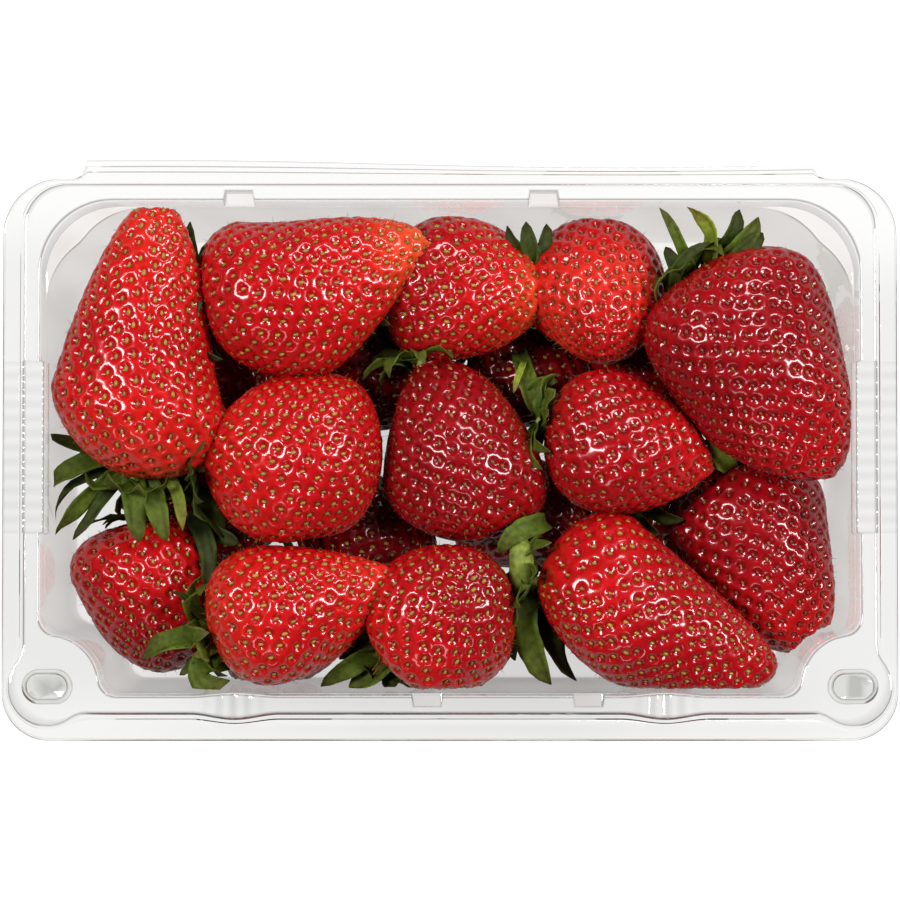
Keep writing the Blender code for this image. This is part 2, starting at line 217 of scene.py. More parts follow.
# %% [markdown]
# ## Pieces from arrays
#
# The sheet and the berries are worked out with numpy as arrays of points, which is quick for many
# thousand of them. One function turns points and faces into a piece of the object: it gives the
# mesh its material, lets the piece ride on the frame's one body, and hides the imported node that the
# piece stands for.

# %% Pieces from arrays


def new_piece(name, points, faces, material, node, smooth=True):
    """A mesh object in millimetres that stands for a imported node."""
    mesh = bpy.data.meshes.new(name)
    mesh.from_pydata((np.asarray(points) * MM).tolist(), [], faces)
    mesh.materials.append(material)
    if smooth:
        mesh.shade_smooth()
    piece = bpy.data.objects.new(name, mesh)
    bpy.context.scene.collection.objects.link(piece)
    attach(piece, "root")
    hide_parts(node)
    return piece


def joined(parts):
    """Several (points, faces) as one, with the faces' numbers moved on."""
    points, faces, start = [], [], 0
    for some_points, some_faces in parts:
        points.append(some_points)
        faces += [tuple(i + start for i in face) for face in some_faces]
        start += len(some_points)
    return np.concatenate(points), faces


# %% Colours of points


def set_tints(piece, tints):
    """Stores a linear colour for every point."""
    layer = piece.data.color_attributes.new(name="tint", type="FLOAT_COLOR", domain="POINT")
    layer.data.foreach_set("color", np.column_stack((tints, np.ones(len(tints)))).ravel())


print("colours of points are linear")

# %% [markdown]
# ## Clear PET
#
# The tray is PET, the polyester of drink bottles, formed hot over a mould. It has a refractive
# index of about 1.57 and a smooth surface, so it is modelled as a true sheet of glassy stuff with
# two sides: at each crease the light bends and a thin dark line shows, just as on the real tray.
# Lamps reach what lies behind it by letting shadow rays through, a little dimmed. Its tint is kept
# point by point, and it carries painted light: the walls are painted a greyer, pinkish haze, a painted
# reflection of the fruit behind and beside them. Every crease, flute, grip rib, pocket edge and button
# edge is painted darker, a painted shade that strengthens the dark lines the bending light leaves there.

# %% Clear PET
PET_IOR = 1.57

clear_pet, tree = new_material("clear_thermoformed_PET")
tint = add_node(tree, "ShaderNodeVertexColor", {"layer_name": "tint"}, {})
rays = add_node(tree, "ShaderNodeLightPath", {}, {})
sheet = add_node(tree, "ShaderNodeBsdfPrincipled", {}, {
    "Base Color": tint.outputs["Color"], "Roughness": 0.03, "IOR": PET_IOR, "Transmission Weight": 1.0})
passed = add_node(tree, "ShaderNodeBsdfTransparent", {}, {"Color": colour("#f6f6f5")})
bounced = add_node(tree, "ShaderNodeMixShader", {}, {
    0: rays.outputs["Is Diffuse Ray"], 1: sheet.outputs["BSDF"], 2: passed.outputs["BSDF"]})
unmirrored = add_node(tree, "ShaderNodeMixShader", {}, {
    0: rays.outputs["Is Glossy Ray"], 1: bounced.outputs["Shader"], 2: passed.outputs["BSDF"]})
lit = add_node(tree, "ShaderNodeMixShader", {}, {
    0: rays.outputs["Is Shadow Ray"], 1: unmirrored.outputs["Shader"], 2: passed.outputs["BSDF"]})
add_node(tree, "ShaderNodeOutputMaterial", {}, {"Surface": lit.outputs["Shader"]})
print("clear PET, index", PET_IOR)

# %% [markdown]
# ## The tray's outlines
#
# From above, every level of the tray is a rounded oblong. Along the straight sides a level only
# moves in or out where a pocket, a finger grip or a fluted thumb place is pressed into it. The
# corners carry the character: the front ones sweep in round a snap button, and the back ones step
# up over a crescent shelf. So an outline is four straight runs and four corner paths, always with
# the same number of points, and a skin can be stretched from one outline to the next.

# %% The tray's outlines
tray_low, tray_high = (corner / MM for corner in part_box("punnet"))
LIP = (tray_high.x, 57.8, -tray_low.y)  # half width, back, front
FLANGE = tuple(size - 0.3 for size in LIP)
RIDGE = (LIP[0] - 4.8, LIP[1] - 1.6, LIP[2] - 5.8)
CAVITY = (LIP[0] - 7.9, LIP[1] - 4.8, LIP[2] - 9.1)
HINGE_BACK, HINGE_HALF = 60.9, 77.0
BUTTON = (84.7, 49.8)
FRONT_NOTCH = (BUTTON, 10.7, 4.0)  # centre, radius, fillet
BACK_NOTCH = ((86.0, 52.0), 9.4, 16.0)
RIDGE_BULGE = (BUTTON, 8.3, 6.0)
LONG_END, SIDE_ENDS = 62.0, (-27.5, 29.5)
CORNER_POINTS = 44


def arc(centre, radius, start, end, turn):
    """Points along an arc, turning +1 anticlockwise or -1 clockwise."""
    sweep = (end - start) * turn % TURN
    angles = start + turn * np.linspace(0, sweep, max(3, round(sweep / 0.09)))
    return np.column_stack((centre[0] + radius * np.cos(angles), centre[1] + radius * np.sin(angles)))


def circled_corner(u_wall, v_wall, circle, side):
    """A corner round a circle with a fillet to each wall: side +1 cuts in, and -1 bulges out."""
    (cu, cv), radius, fillet = circle
    reach = radius + fillet
    first = (cu - math.sqrt(reach**2 - (v_wall - side * fillet - cv) ** 2), v_wall - side * fillet)
    last = (u_wall - side * fillet, cv - math.sqrt(reach**2 - (u_wall - side * fillet - cu) ** 2))
    from_first = math.atan2(cv - first[1], cu - first[0])
    from_last = math.atan2(cv - last[1], cu - last[0])
    return np.concatenate((
        arc(first, fillet, side * math.pi / 2, from_first, -side),
        arc((cu, cv), radius, from_first + math.pi, from_last + math.pi, side),
        arc(last, fillet, from_last, 0 if side > 0 else math.pi, -side)))


def round_corner(u_wall, v_wall, radius):
    return arc((u_wall - radius, v_wall - radius), radius, math.pi / 2, 0, -1)


def evenly(points, count):
    """The inner points of a path at even steps."""
    lengths = np.concatenate(([0], np.cumsum(np.hypot(*np.diff(points, axis=0).T))))
    wanted = np.linspace(0, lengths[-1], count + 2)[1:-1]
    return np.column_stack([np.interp(wanted, lengths, points[:, i]) for i in (0, 1)])


def corner_path(kind, size, out, at_back):
    """The path from a long side's end to a short side's."""
    half_width, wall = size[0] + out, (size[1] if at_back else size[2]) + out
    ends = (LONG_END, wall), (half_width, SIDE_ENDS[1] if at_back else -SIDE_ENDS[0])
    if kind[0] == "round":
        middle = round_corner(half_width, wall, kind[1])
    else:
        (centre, radius, fillet), side = kind[1], 1 if kind[0] == "notch" else -1
        middle = circled_corner(half_width, wall, (centre, radius - side * out, fillet), side)
    return evenly(np.vstack((ends[0], middle, ends[1])), CORNER_POINTS)


print("tray", [round(v, 1) for v in (*tray_low, *tray_high)], "mm")

# %% [markdown]
# ## What is pressed into the sides
#
# Small lugs of the lid press into four pockets, and the two short sides have sunken finger grips
# with ribs. The front has two thumb places with flutes about 3 mm wide. Each is a smooth bump along
# its side that moves a level out, in, up or down, so one list of stations serves every level.

# %% What is pressed into the sides
BACK_POCKETS, FRONT_POCKETS = (-44.6, 19.8), (-4.8, 29.2)
POCKET_HALF, POCKET_OUT = 2.9, 1.9
GRIP_MIDDLE, GRIP_HALF = 0.7, 18.0
SCALLOPS, SCALLOP_HALF = (-45.4, 45.4), 9.6
FLUTE = 3.05  # from one flute to the next
STEP = 0.3  # how far a sharp step runs sideways


def plateau(along, middles, half):
    """1 between the ends of a pressed place, 0 outside it."""
    gap = np.min([np.abs(along - m) for m in middles], axis=0)
    return np.clip((half + STEP - gap) / STEP, 0, 1)


def swell(along, middles, half):
    """A smooth bump from 0 to 1 over each middle."""
    gap = np.min([np.abs(along - m) for m in middles], axis=0)
    return 0.5 + 0.5 * np.cos(math.pi * np.minimum(1, gap / half))


def stations(start, end, step, middles, half):
    """Where a straight side has its points: even steps, and finer over the fluted places."""
    found = list(np.linspace(start, end, round((end - start) / step)))
    for m in middles:
        found += list(np.arange(m - half, m + half, FLUTE / 6))
    return found


def with_steps(found, middles, half):
    """The stations without near repeats, and both sides of every sharp step."""
    kept = [m + s * (half + d) for m in middles for s in (-1, 1) for d in (-STEP, 0, STEP, 2 * STEP)]
    for x in found:
        if min(abs(x - other) for other in kept) > 0.2:
            kept.append(x)
    return np.array(sorted(kept))


front_x = with_steps(stations(-LONG_END, LONG_END, 2.0, SCALLOPS, SCALLOP_HALF), FRONT_POCKETS, POCKET_HALF)
back_x = with_steps(stations(-LONG_END, LONG_END, 2.0, (), 0), BACK_POCKETS, POCKET_HALF)
side_y = with_steps(stations(*SIDE_ENDS, 3.0, (GRIP_MIDDLE,), GRIP_HALF), (GRIP_MIDDLE,), GRIP_HALF)
print(len(front_x), len(back_x), len(side_y), "stations")

# %% [markdown]
# ## Levels of the tray
#
# Each level is a closed ring: its outline moved out by a little, its height, and how much of each
# pressed place it shows. The rings run from the floor up the leaning wall, over the crescent shelves
# to the rim, across the rim, down to the flange and out to the turned-down lip. At the back the
# flange runs on as the hinge strip, which ends in a wavy cut edge.

# %% Levels of the tray
FLANGE_Z, SHELF_Z, POCKET_Z = 52.6, 48.0, 49.2
SHEET, FLOOR_R, WALL_LEAN = 0.35, 3.5, 4.6
EDGE_IN = 0.3
NOTCHED = (("notch", BACK_NOTCH), ("notch", FRONT_NOTCH))
OPEN_TOP = (("round", 15.5), ("notch", FRONT_NOTCH))
BULGED = (("round", 9.0), ("bulge", RIDGE_BULGE))
ROUNDED = (("round", 12.0), ("round", 10.0))


def ring(size, out, z, corners, pocket=0, grip=0, grip_z=0, scallop=0, flutes=0):
    """One level, anticlockwise from the front's left end. pocket, grip and scallop are how far
    those places move it outwards, grip_z and flutes how far they lower it."""
    half_width, back, front = (s + out for s in size)
    here = plateau(front_x, FRONT_POCKETS, POCKET_HALF)
    thumb = swell(front_x, SCALLOPS, SCALLOP_HALF)
    wave = np.cos(TURN * front_x / FLUTE)
    front_run = np.column_stack((
        front_x, -(front + pocket * here + scallop * thumb), z - flutes * thumb * (1 + 0.6 * wave)))
    here = plateau(back_x, BACK_POCKETS, POCKET_HALF)
    back_run = np.column_stack((back_x, back + pocket * here, np.full(len(back_x), z)))
    held = plateau(side_y, (GRIP_MIDDLE,), GRIP_HALF)
    rib = np.cos(TURN * (side_y - GRIP_MIDDLE) / FLUTE) ** 3
    side_run = np.column_stack((half_width + grip * held, side_y, z - grip_z * held * (1 + 0.12 * rib)))
    paths = [corner_path(corners[0], size, out, True), corner_path(corners[1], size, out, False)]
    back_corner, front_corner = (np.column_stack((p, np.full(len(p), z))) for p in paths)
    mirror = (-1, 1, 1)
    forward = (1, -1, 1)
    return np.concatenate((
        front_run, front_corner * forward, side_run, back_corner[::-1], back_run[::-1],
        back_corner * mirror, side_run[::-1] * mirror, front_corner[::-1] * (-1, -1, 1)))


def between(low, high, shares):
    return [low + (high - low) * s for s in shares]


def hinge_strip(points, share):
    """Moves a lip ring's back outwards, up to the strip's wavy cut edge."""
    x, y, z = points.T
    wave = HINGE_BACK + 0.8 * np.cos(math.pi * (x + 63) / 99)
    inside = np.clip((HINGE_HALF + 2.6 - np.abs(x)) / 2.6, 0, 1) * (y > LIP[1] - 1.2)
    lifted = 1 - np.sqrt(1 - np.minimum(inside, 1) ** 2) if share > 0 else inside * 0
    reach = np.where(np.abs(x) < HINGE_HALF, 1, lifted)
    crease = 0.4 * math.exp(-((share - 0.42) / 0.05) ** 2) + 0.4 * math.exp(-((share - 0.7) / 0.05) ** 2)
    new_y = y + reach * share * (wave - LIP[1]) * (inside > 0)
    new_z = np.where(inside > 0, z + reach * (FLANGE_Z - crease - 0.3 * share - z), z)
    return np.column_stack((x, new_y, new_z))


levels = []
foot = SHEET + FLOOR_R
for angle in np.linspace(0, math.pi / 2, 6):
    into, z = WALL_LEAN + FLOOR_R * (1 - math.sin(angle)), SHEET + FLOOR_R * (1 - math.cos(angle))
    levels.append(ring(CAVITY, -into, z, NOTCHED))
lean = (WALL_LEAN - EDGE_IN) / (RIM_Z - 0.5 - foot)


def wall(z, corners, **pressed):
    """A level of the straight leaning wall."""
    return ring(CAVITY, -EDGE_IN - lean * (RIM_Z - 0.5 - z), z, corners, **pressed)


for share in (0.2, 0.4, 0.6, 0.8, 0.95, 1.0):
    levels.append(wall(foot + (SHELF_Z - 0.5 - foot) * share, NOTCHED))
creases = {len(levels) - 1: "shelf"}
shelf_in, shelf_out = levels[-1], wall(SHELF_Z + 0.9, OPEN_TOP)
SHELF_STEPS = ((0.03, 0.35), (0.08, 0.5), (0.16, 0.58), (0.35, 0.62), (0.65, 0.7), (0.92, 0.85), (0.98, 1.1), (1.0, 1.4))
for share, rise in SHELF_STEPS:
    level = shelf_in + (shelf_out - shelf_in) * share
    level[:, 2] = shelf_in[:, 2] + rise
    levels.append(level)
creases[len(levels) - 1] = "shelf"
levels.append(wall(POCKET_Z - 0.2, OPEN_TOP))
levels.append(wall(POCKET_Z, OPEN_TOP, pocket=2.6, grip=-0.9, grip_z=1.5, scallop=-0.6))
levels.append(wall(54.9, OPEN_TOP, pocket=2.2, grip=-0.9, grip_z=2.4, scallop=-0.6))
levels.append(wall(55.5, OPEN_TOP, pocket=2.15, grip=-0.9, grip_z=2.0, scallop=-0.6, flutes=0.1))
levels.append(ring(CAVITY, -0.1, 55.85, OPEN_TOP, pocket=1.95, grip=-0.9, grip_z=1.6, scallop=-0.6, flutes=0.2))
creases[len(levels) - 1] = "edge"
levels.append(ring(CAVITY, 0.02, 55.93, OPEN_TOP, pocket=1.83, grip=-0.9, grip_z=1.55, scallop=-0.6, flutes=0.25))
creases[len(levels) - 1] = "edge"
rim_in = ring(CAVITY, 0.3, RIM_Z, OPEN_TOP, pocket=1.6, grip=-0.9, grip_z=1.5, scallop=-0.6, flutes=0.3)
rim_out = ring(RIDGE, -0.3, RIM_Z, BULGED, grip=0.4, grip_z=1.5, scallop=1.1, flutes=0.3)
levels += between(rim_in, rim_out, (0, 0.12, 0.3, 0.5, 0.7, 0.88, 1.0))
creases[len(levels) - 1] = "lip"
levels.append(ring(RIDGE, -0.08, RIM_Z - 0.1, BULGED, grip=0.4, grip_z=1.5, scallop=1.1, flutes=0.25))
creases[len(levels) - 1] = "edge"
levels.append(ring(RIDGE, 0.03, RIM_Z - 0.4, BULGED, grip=0.4, grip_z=1.2, scallop=1.1, flutes=0.1))
levels.append(ring(RIDGE, 0.1, FLANGE_Z + 0.35, BULGED, scallop=1.1))
foot_out = ring(RIDGE, 0.3, FLANGE_Z, BULGED, scallop=1.1)
flange = ring(FLANGE, 0, FLANGE_Z, ROUNDED)
levels += between(foot_out, flange, (0, 0.15, 0.2, 0.27, 0.5, 0.9, 1.0))
levels[-5][:, 2] -= 0.25
lip = ring(LIP, 0, FLANGE_Z - 1.3, ROUNDED)
for share in (0.1, 0.36, 0.42, 0.48, 0.64, 0.7, 0.76, 0.9, 1.0):
    turned = flange + (lip - flange) * share
    turned[:, 2] = FLANGE_Z - 1.3 * share ** 1.7
    levels.append(hinge_strip(turned, share))
creases[len(levels) - 1] = "lip"
print(len(levels), "levels of", len(levels[0]), "points")

# %% [markdown]
# ## Skinning the tray
#
# Quads join each ring to the next, one face closes the floor, and Solidify gives the sheet its
# thickness. A slow swell of a tenth of a millimetre runs over the wall, because a formed sheet is
# never quite flat, and that is what makes its reflections wander.

# %% Skinning the tray
CAP_SIDES = 36
CAP_HALF, CAP_ROUND = (5.1, 3.45), 3.45


def stadium(centre, inset, z):
    """An oblong with round ends, inset from a snap button's outline."""
    turn = np.linspace(0, TURN, CAP_SIDES + 1)[:-1]
    radius = CAP_ROUND - inset
    x = radius * np.cos(turn) + (CAP_HALF[0] - CAP_ROUND) * np.sign(np.cos(turn)).round()
    return np.column_stack((centre[0] + x, centre[1] + radius * np.sin(turn), np.full(CAP_SIDES, z)))


def button_cap(side, rng):
    """A snap button's skin: walls, a rounded edge, and a top crumpled into facets."""
    centre = (side * BUTTON[0], -BUTTON[1])
    rings = [stadium(centre, inset, z) for inset, z in (
        (-0.3, RIM_Z - 0.1), (-0.05, RIM_Z + 0.5), (0.05, RIM_Z + 1.5), (0.3, RIM_Z + 1.95), (0.75, RIM_Z + 1.9),
        (0.9, RIM_Z + 1.6))]
    knots = rng.uniform((-4.0, -2.4, 1.2), (4.0, 2.4, 1.8), (9, 3)) + (*centre, RIM_Z)
    flat = [Vector(p[:2]) for p in rings[-1][::3]] + [Vector(k[:2]) for k in knots]
    count = len(rings[-1][::3])
    flat, _, facets, origins, _, _ = delaunay_2d_cdt(flat, [], [], 0, 1e-6)
    start = CAP_SIDES * (len(rings) - 1)
    numbers = [start + 3 * o[0] if o[0] < count else CAP_SIDES * len(rings) + o[0] - count for o in origins]
    faces = []
    for row in range(len(rings) - 1):
        for k in range(CAP_SIDES):
            n = (k + 1) % CAP_SIDES
            low = row * CAP_SIDES
            faces.append((low + k, low + n, low + CAP_SIDES + n, low + CAP_SIDES + k))
    for facet in facets:
        faces.append(tuple(numbers[i] for i in facet))
    return np.vstack((*rings, knots)), faces


count = len(levels[0])
points = np.concatenate(levels)
z = points[:, 2]
on_wall = np.clip((z - 4) / 8, 0, 1) * np.clip((SHELF_Z - z) / 6, 0, 1)
ripple = np.sin(points[:, 0] / 1.3 + z / 23) + np.sin(points[:, 1] / 1.1 - z / 19) + np.sin((points[:, 0] + points[:, 1]) / 4)
outward = points[:, :2] / np.linalg.norm(points[:, :2], axis=1)[:, None]
points[:, :2] += outward * (0.07 * on_wall * ripple)[:, None]
faces = [tuple(range(count))]
for level in range(len(levels) - 1):
    for i in range(count):
        j = (i + 1) % count
        low, high = level * count, (level + 1) * count
        faces.append((low + i, high + i, high + j, low + j))
# The sheet's own clear tint, a painted pinkish-grey haze for the walls that stands for the fruit seen through and
# mirrored in them, and a painted dark shade for the creases.
CLEAR, PAINTED_WALL_HAZE, CREASE_SHADE = (np.array(colour(code)[:3]) for code in ("#f4f4f3", "#dfd5d1", "#4a3d36"))
rim_start = max(number for number, kind in creases.items() if kind == "shelf") * count
x, y = points[:, 0], points[:, 1]
# Painted reflection: the walls, from just above the floor to just below the rim, take the pinkish-grey haze, a little
# streaked.
streak = 0.8 + 0.2 * np.sin(x / 3.1 + y / 2.3 + z / 17)
haze_share = np.clip((z - 1.5) / 3, 0, 1) * (np.arange(len(points)) < rim_start + 3 * count) * streak
tints = CLEAR + haze_share[:, None] * (PAINTED_WALL_HAZE - CLEAR)
on_top = (z > RIM_Z - 3.5) & (np.arange(len(points)) > rim_start + 3 * count)
# Painted shade: on the rim, the fluted thumb places and the ribbed grips are darkened in bands, standing for the light
# and dark that the flutes bend.
thumb = swell(x, SCALLOPS, SCALLOP_HALF) * (y < -CAVITY[2] + 0.5)
grip = plateau(y, (GRIP_MIDDLE,), GRIP_HALF) * (np.abs(x) > CAVITY[0] - 1.5)
ribs = (z > RIM_Z - 1.2) * thumb * (0.5 + 0.5 * np.cos(TURN * x / FLUTE)) + 0.5 * grip * (0.5 + 0.5 * np.cos(TURN * (y - GRIP_MIDDLE) / FLUTE))
tints *= 1 - 0.34 * (ribs * on_top)[:, None]
# Painted shade: each crease ring is darkened, at the shelf only where the shelf is wide, to stand for the dark line
# that bending light leaves there.
apart = np.linalg.norm(shelf_out[:, :2] - shelf_in[:, :2], axis=1)
shade_strengths = {"shelf": 0.9 * np.clip((apart - 0.7) / 1.2, 0, 1), "edge": np.full(count, 0.85), "lip": np.full(count, 0.4)}
for number, kind in creases.items():
    part = slice(number * count, number * count + count)
    tints[part] += shade_strengths[kind][:, None] * (CREASE_SHADE - tints[part])
# Painted shade: thin dark lines along both sides of each pocket, where the sheet steps.
at_pocket = (np.arange(len(points)) >= rim_start + 2 * count) & (np.arange(len(points)) < rim_start + 8 * count)
for middles, here in ((FRONT_POCKETS, y < -50), (BACK_POCKETS, y > 50)):
    for m in middles:
        side_line = np.abs(np.abs(x - m) - POCKET_HALF - STEP / 2) < 0.6 * STEP
        tints[side_line & here & at_pocket] *= 0.45
wall_faces = len(faces)
caps = [button_cap(side, np.random.default_rng(4 + side)) for side in (-1, 1)]
points, faces = joined([(points, faces), *caps])
tray = new_piece("tray", points, faces, clear_pet, "punnet")
# Painted shade on the snap buttons: two of their rings are darkened as outlines, and every second point of the
# crumpled top for its facet lines.
cap_tints = np.tile(CLEAR, (len(caps[0][0]), 1))
for row in (0, 4):
    cap_tints[row * CAP_SIDES:row * CAP_SIDES + CAP_SIDES] *= 0.35
cap_tints[CAP_SIDES * 6::2] *= 0.5
set_tints(tray, np.vstack((tints, cap_tints, cap_tints)))
tray.data.set_sharp_from_angle(angle=math.radians(38))
for number, face in enumerate(tray.data.polygons):
    cap_face = (number - wall_faces) % len(caps[0][1])
    face.use_smooth = number < wall_faces or cap_face < CAP_SIDES * 5
solidify = tray.modifiers.new("sheet", "SOLIDIFY")
solidify.thickness = SHEET * MM
solidify.offset = -1
solidify.use_even_offset = False
print(len(faces), "faces on one side of the sheet")

# %% [markdown]
# ## Fruit against the wall
#
# Ripe fruit gives way. Where a berry or a leaf would pass through the wall it lies flat against its
# inside instead, so each point is pushed in along the wall's own direction at that height.

# %% Fruit against the wall
SLICE = 4.0  # height of the slices that share one outline of the wall
TOUCH = 0.35  # left between the sheet and the fruit's skin, room for the swellings between seeds


def inside_tray(points, touch=TOUCH):
    """The points, with those beyond the wall's inside pushed back to it."""
    kept = points.copy()
    outer = (np.abs(points[:, 0]) > 68) | (np.abs(points[:, 1]) > 36)
    for low in np.arange(0, RIM_Z, SLICE):
        chosen = np.flatnonzero(outer & (points[:, 2] >= low) & (points[:, 2] < low + SLICE))
        level = wall(low + SLICE / 2, NOTCHED if low < SHELF_Z else OPEN_TOP)[:, :2]
        edge = np.roll(level, -1, axis=0) - level
        inward = np.column_stack((-edge[:, 1], edge[:, 0])) / np.linalg.norm(edge, axis=1)[:, None]
        for some in np.array_split(chosen, len(chosen) // 4000 + 1):
            ahead = points[some, None, :2] - level
            share = np.clip((ahead * edge).sum(axis=2) / (edge ** 2).sum(axis=1), 0, 1)
            nearest = np.linalg.norm(ahead - share[..., None] * edge, axis=2).argmin(axis=1)
            depth = (ahead[np.arange(len(some)), nearest] * inward[nearest]).sum(axis=1)
            wanted = SHEET + touch + lean * (low + SLICE / 2 - points[some, 2])
            kept[some, :2] += np.maximum(0, wanted - depth)[:, None] * inward[nearest]
    return kept


print("fruit keeps", TOUCH, "mm from the sheet")

# %% [markdown]
# ## A berry's form
#
# A berry is an egg with a pointed end: full shoulders at the stem and flanks that sweep to the tip.
# Its two flanks are rarely alike, because a necked or beaked berry swelled more on one side. So each
# flank has its own formula with five values: how far it stands out from the axis in millimetres,
# where along the length it is widest, how square its shoulder is, how long it stays full on the way
# to the tip, and how blunt it ends. Slow lumps keep a berry from being a turned shape.

# %% A berry's form
EVEN_FLANK = (0.34, 2.4, 1.9, 1.7)  # widest share, shoulder, sweep and bluntness of a regular berry


def girth(t, widest, shoulder, sweep, blunt):
    """How far a flank stands out at a share of the length from stem end to tip, at most 1."""
    stem_part = (1 - (1 - np.minimum(t / widest, 1)) ** shoulder) ** (1 / shoulder)
    tip_part = (1 - np.clip((t - widest) / (1 - widest), 0, 1) ** sweep) ** (1 / blunt)
    return np.where(t < widest, stem_part, tip_part)


class Berry:
    """One berry as a map from a flat disc to its skin, in millimetres."""

    def __init__(self, number, stem, tip, thickness, left, right):
        self.rng = np.random.default_rng(100 + number)
        self.stem, self.tip = np.array(stem, float), np.array(tip, float)
        self.length = np.linalg.norm(self.tip - self.stem)
        self.axis = (self.tip - self.stem) / self.length
        self.side = np.cross((0, 0, 1), self.axis)
        self.side /= np.linalg.norm(self.side)
        self.up = np.cross(self.axis, self.side)
        self.left, self.right, self.thickness = left, right, thickness
        self.phases = self.rng.uniform(0, TURN, 6)
        self.lumps = self.rng.uniform(0.012, 0.03, 6)
        self.measure()

    def radii(self, t):
        """How far the left flank, the right flank and the top stand out from the axis."""
        left = self.left[0] * girth(t, *self.left[1:])
        right = self.right[0] * girth(t, *self.right[1:])
        return left, right, self.thickness / 2 * (left + right) / (self.left[0] + self.right[0])

    def measure(self):
        """The disc's radius for each share of the length, so that small circles stay circles."""
        self.grid = 0.5 + 0.5 * np.cos(np.linspace(0, math.pi, 1200))
        left, right, over = self.radii(self.grid)
        radius = (left + right + 2 * over) / 4
        step = np.hypot(np.diff(radius), np.diff(self.grid) * self.length)
        mean = (radius[1:] + radius[:-1]) / 2
        self.grid, radius = self.grid[1:-1], radius[1:-1]
        self.log_disc = math.log(radius[0]) + np.concatenate(([0], np.cumsum(step[1:-1] / mean[1:-1])))
        self.area = np.concatenate(([0], np.cumsum(step[1:-1] * mean[1:-1] * TURN)))
        self.radius = radius

    def skin(self, disc):
        """Points of the smooth skin for points of the disc."""
        rho = np.hypot(disc[:, 0], disc[:, 1])
        t = np.interp(np.log(np.maximum(rho, 1e-9)), self.log_disc, self.grid)
        turn = np.arctan2(disc[:, 1], disc[:, 0])
        lump = np.ones_like(t)
        for k in range(6):
            lump += self.lumps[k] * np.cos((1 + k // 2) * turn + self.phases[k] + (3 + k) * (t - 0.5))
        left, right, over = self.radii(t)
        across = np.where(np.cos(turn) > 0, left, right) * lump * np.cos(turn)
        height = over * lump * np.sin(turn)
        along = self.length * t
        return inside_tray(
            self.stem + along[:, None] * self.axis + across[:, None] * self.side + height[:, None] * self.up)

    def share(self, disc):
        """How far along from stem end to tip points of the disc lie."""
        return np.interp(np.log(np.maximum(np.hypot(disc[:, 0], disc[:, 1]), 1e-9)), self.log_disc, self.grid)

    def scale(self, disc):
        """How much of the disc one millimetre of skin takes up."""
        rho = np.maximum(np.hypot(disc[:, 0], disc[:, 1]), 1e-9)
        return rho / np.interp(np.log(rho), self.log_disc, self.radius)

    def frame(self, disc):
        """The skin's outward normal and its direction towards the tip."""
        step = 0.05 * self.scale(disc)
        dx = self.skin(disc + np.column_stack((step, step * 0))) - self.skin(disc - np.column_stack((step, step * 0)))
        dy = self.skin(disc + np.column_stack((step * 0, step))) - self.skin(disc - np.column_stack((step * 0, step)))
        normal = np.cross(dx, dy)
        normal /= np.linalg.norm(normal, axis=1)[:, None]
        if (normal * (self.skin(disc) - (self.stem + self.tip) / 2)).sum() < 0:
            normal = -normal
        out = disc / np.maximum(np.hypot(disc[:, 0], disc[:, 1]), 1e-9)[:, None]
        tipward = -(dx * out[:, :1] + dy * out[:, 1:])
        tipward -= (tipward * normal).sum(axis=1)[:, None] * normal
        return normal, tipward / np.linalg.norm(tipward, axis=1)[:, None]


print("a regular berry is widest at", EVEN_FLANK[0], "of its length")

# %% [markdown]
# ## Seeds in a spiral
#
# What looks like a seed is a small fruit, an achene. They sit in pits, in the same golden spiral as
# the scales of a cone, about 3.5 mm apart and closer towards the tip. Counting off equal areas of
# skin while turning by the golden angle lays them out.

# %% Seeds in a spiral
GOLDEN = TURN * (1 - 2 / (1 + math.sqrt(5)))
STEM_PATCH = 3.0  # bare skin under the leaves, as a radius
STEM_SPACING, TIP_SPACING = 3.55, 2.9


def spacing(t):
    return STEM_SPACING + (TIP_SPACING - STEM_SPACING) * t ** 1.5


def seed_places(berry):
    """Points of the disc where a berry's seeds lie."""
    crowd = np.concatenate(([0], np.cumsum(np.diff(berry.area) / (0.866 * spacing(berry.grid[1:]) ** 2))))
    order = np.arange(0.6, crowd[-1])
    log_disc = np.interp(order, crowd, berry.log_disc)
    t = np.interp(order, crowd, berry.grid)
    kept = ~((t < 0.3) & (np.interp(order, crowd, berry.radius) < STEM_PATCH))
    turn = (np.arange(len(order)) * GOLDEN)[kept]
    rho = np.exp(log_disc[kept])
    places = np.column_stack((rho * np.cos(turn), rho * np.sin(turn)))
    jitter = berry.rng.normal(0, 0.2, places.shape)
    return places + jitter * berry.scale(places)[:, None]


# %% [markdown]
# ## Skin with pits
#
# Mesh is spent where the shape is. Rings of points round each seed follow its pit, a few more points
# fill the gaps, and a Delaunay triangulation of the disc joins them all. Between the pits the flesh
# swells a little, so that every seed has its own small rim to catch the light.

# %% Skin with pits
FINE_RINGS = ((0.45, 6), (0.85, 8), (1.2, 10), (1.55, 12))
COARSE_RINGS = ((0.5, 5), (1.0, 7), (1.5, 8))
PIT_AT = (0.0, 0.45, 0.85, 1.2, 1.6, 2.3)
PIT_HEIGHT = (-0.70, -0.66, -0.42, -0.10, 0.10, 0.12)


def triangles(disc):
    """A Delaunay triangulation of points of a disc."""
    flat = [Vector((float(x), float(y))) for x, y in disc]
    _, _, faces, origins, _, _ = delaunay_2d_cdt(flat, [], [], 0, 1e-7)
    return [tuple(origins[i][0] for i in face) for face in faces]


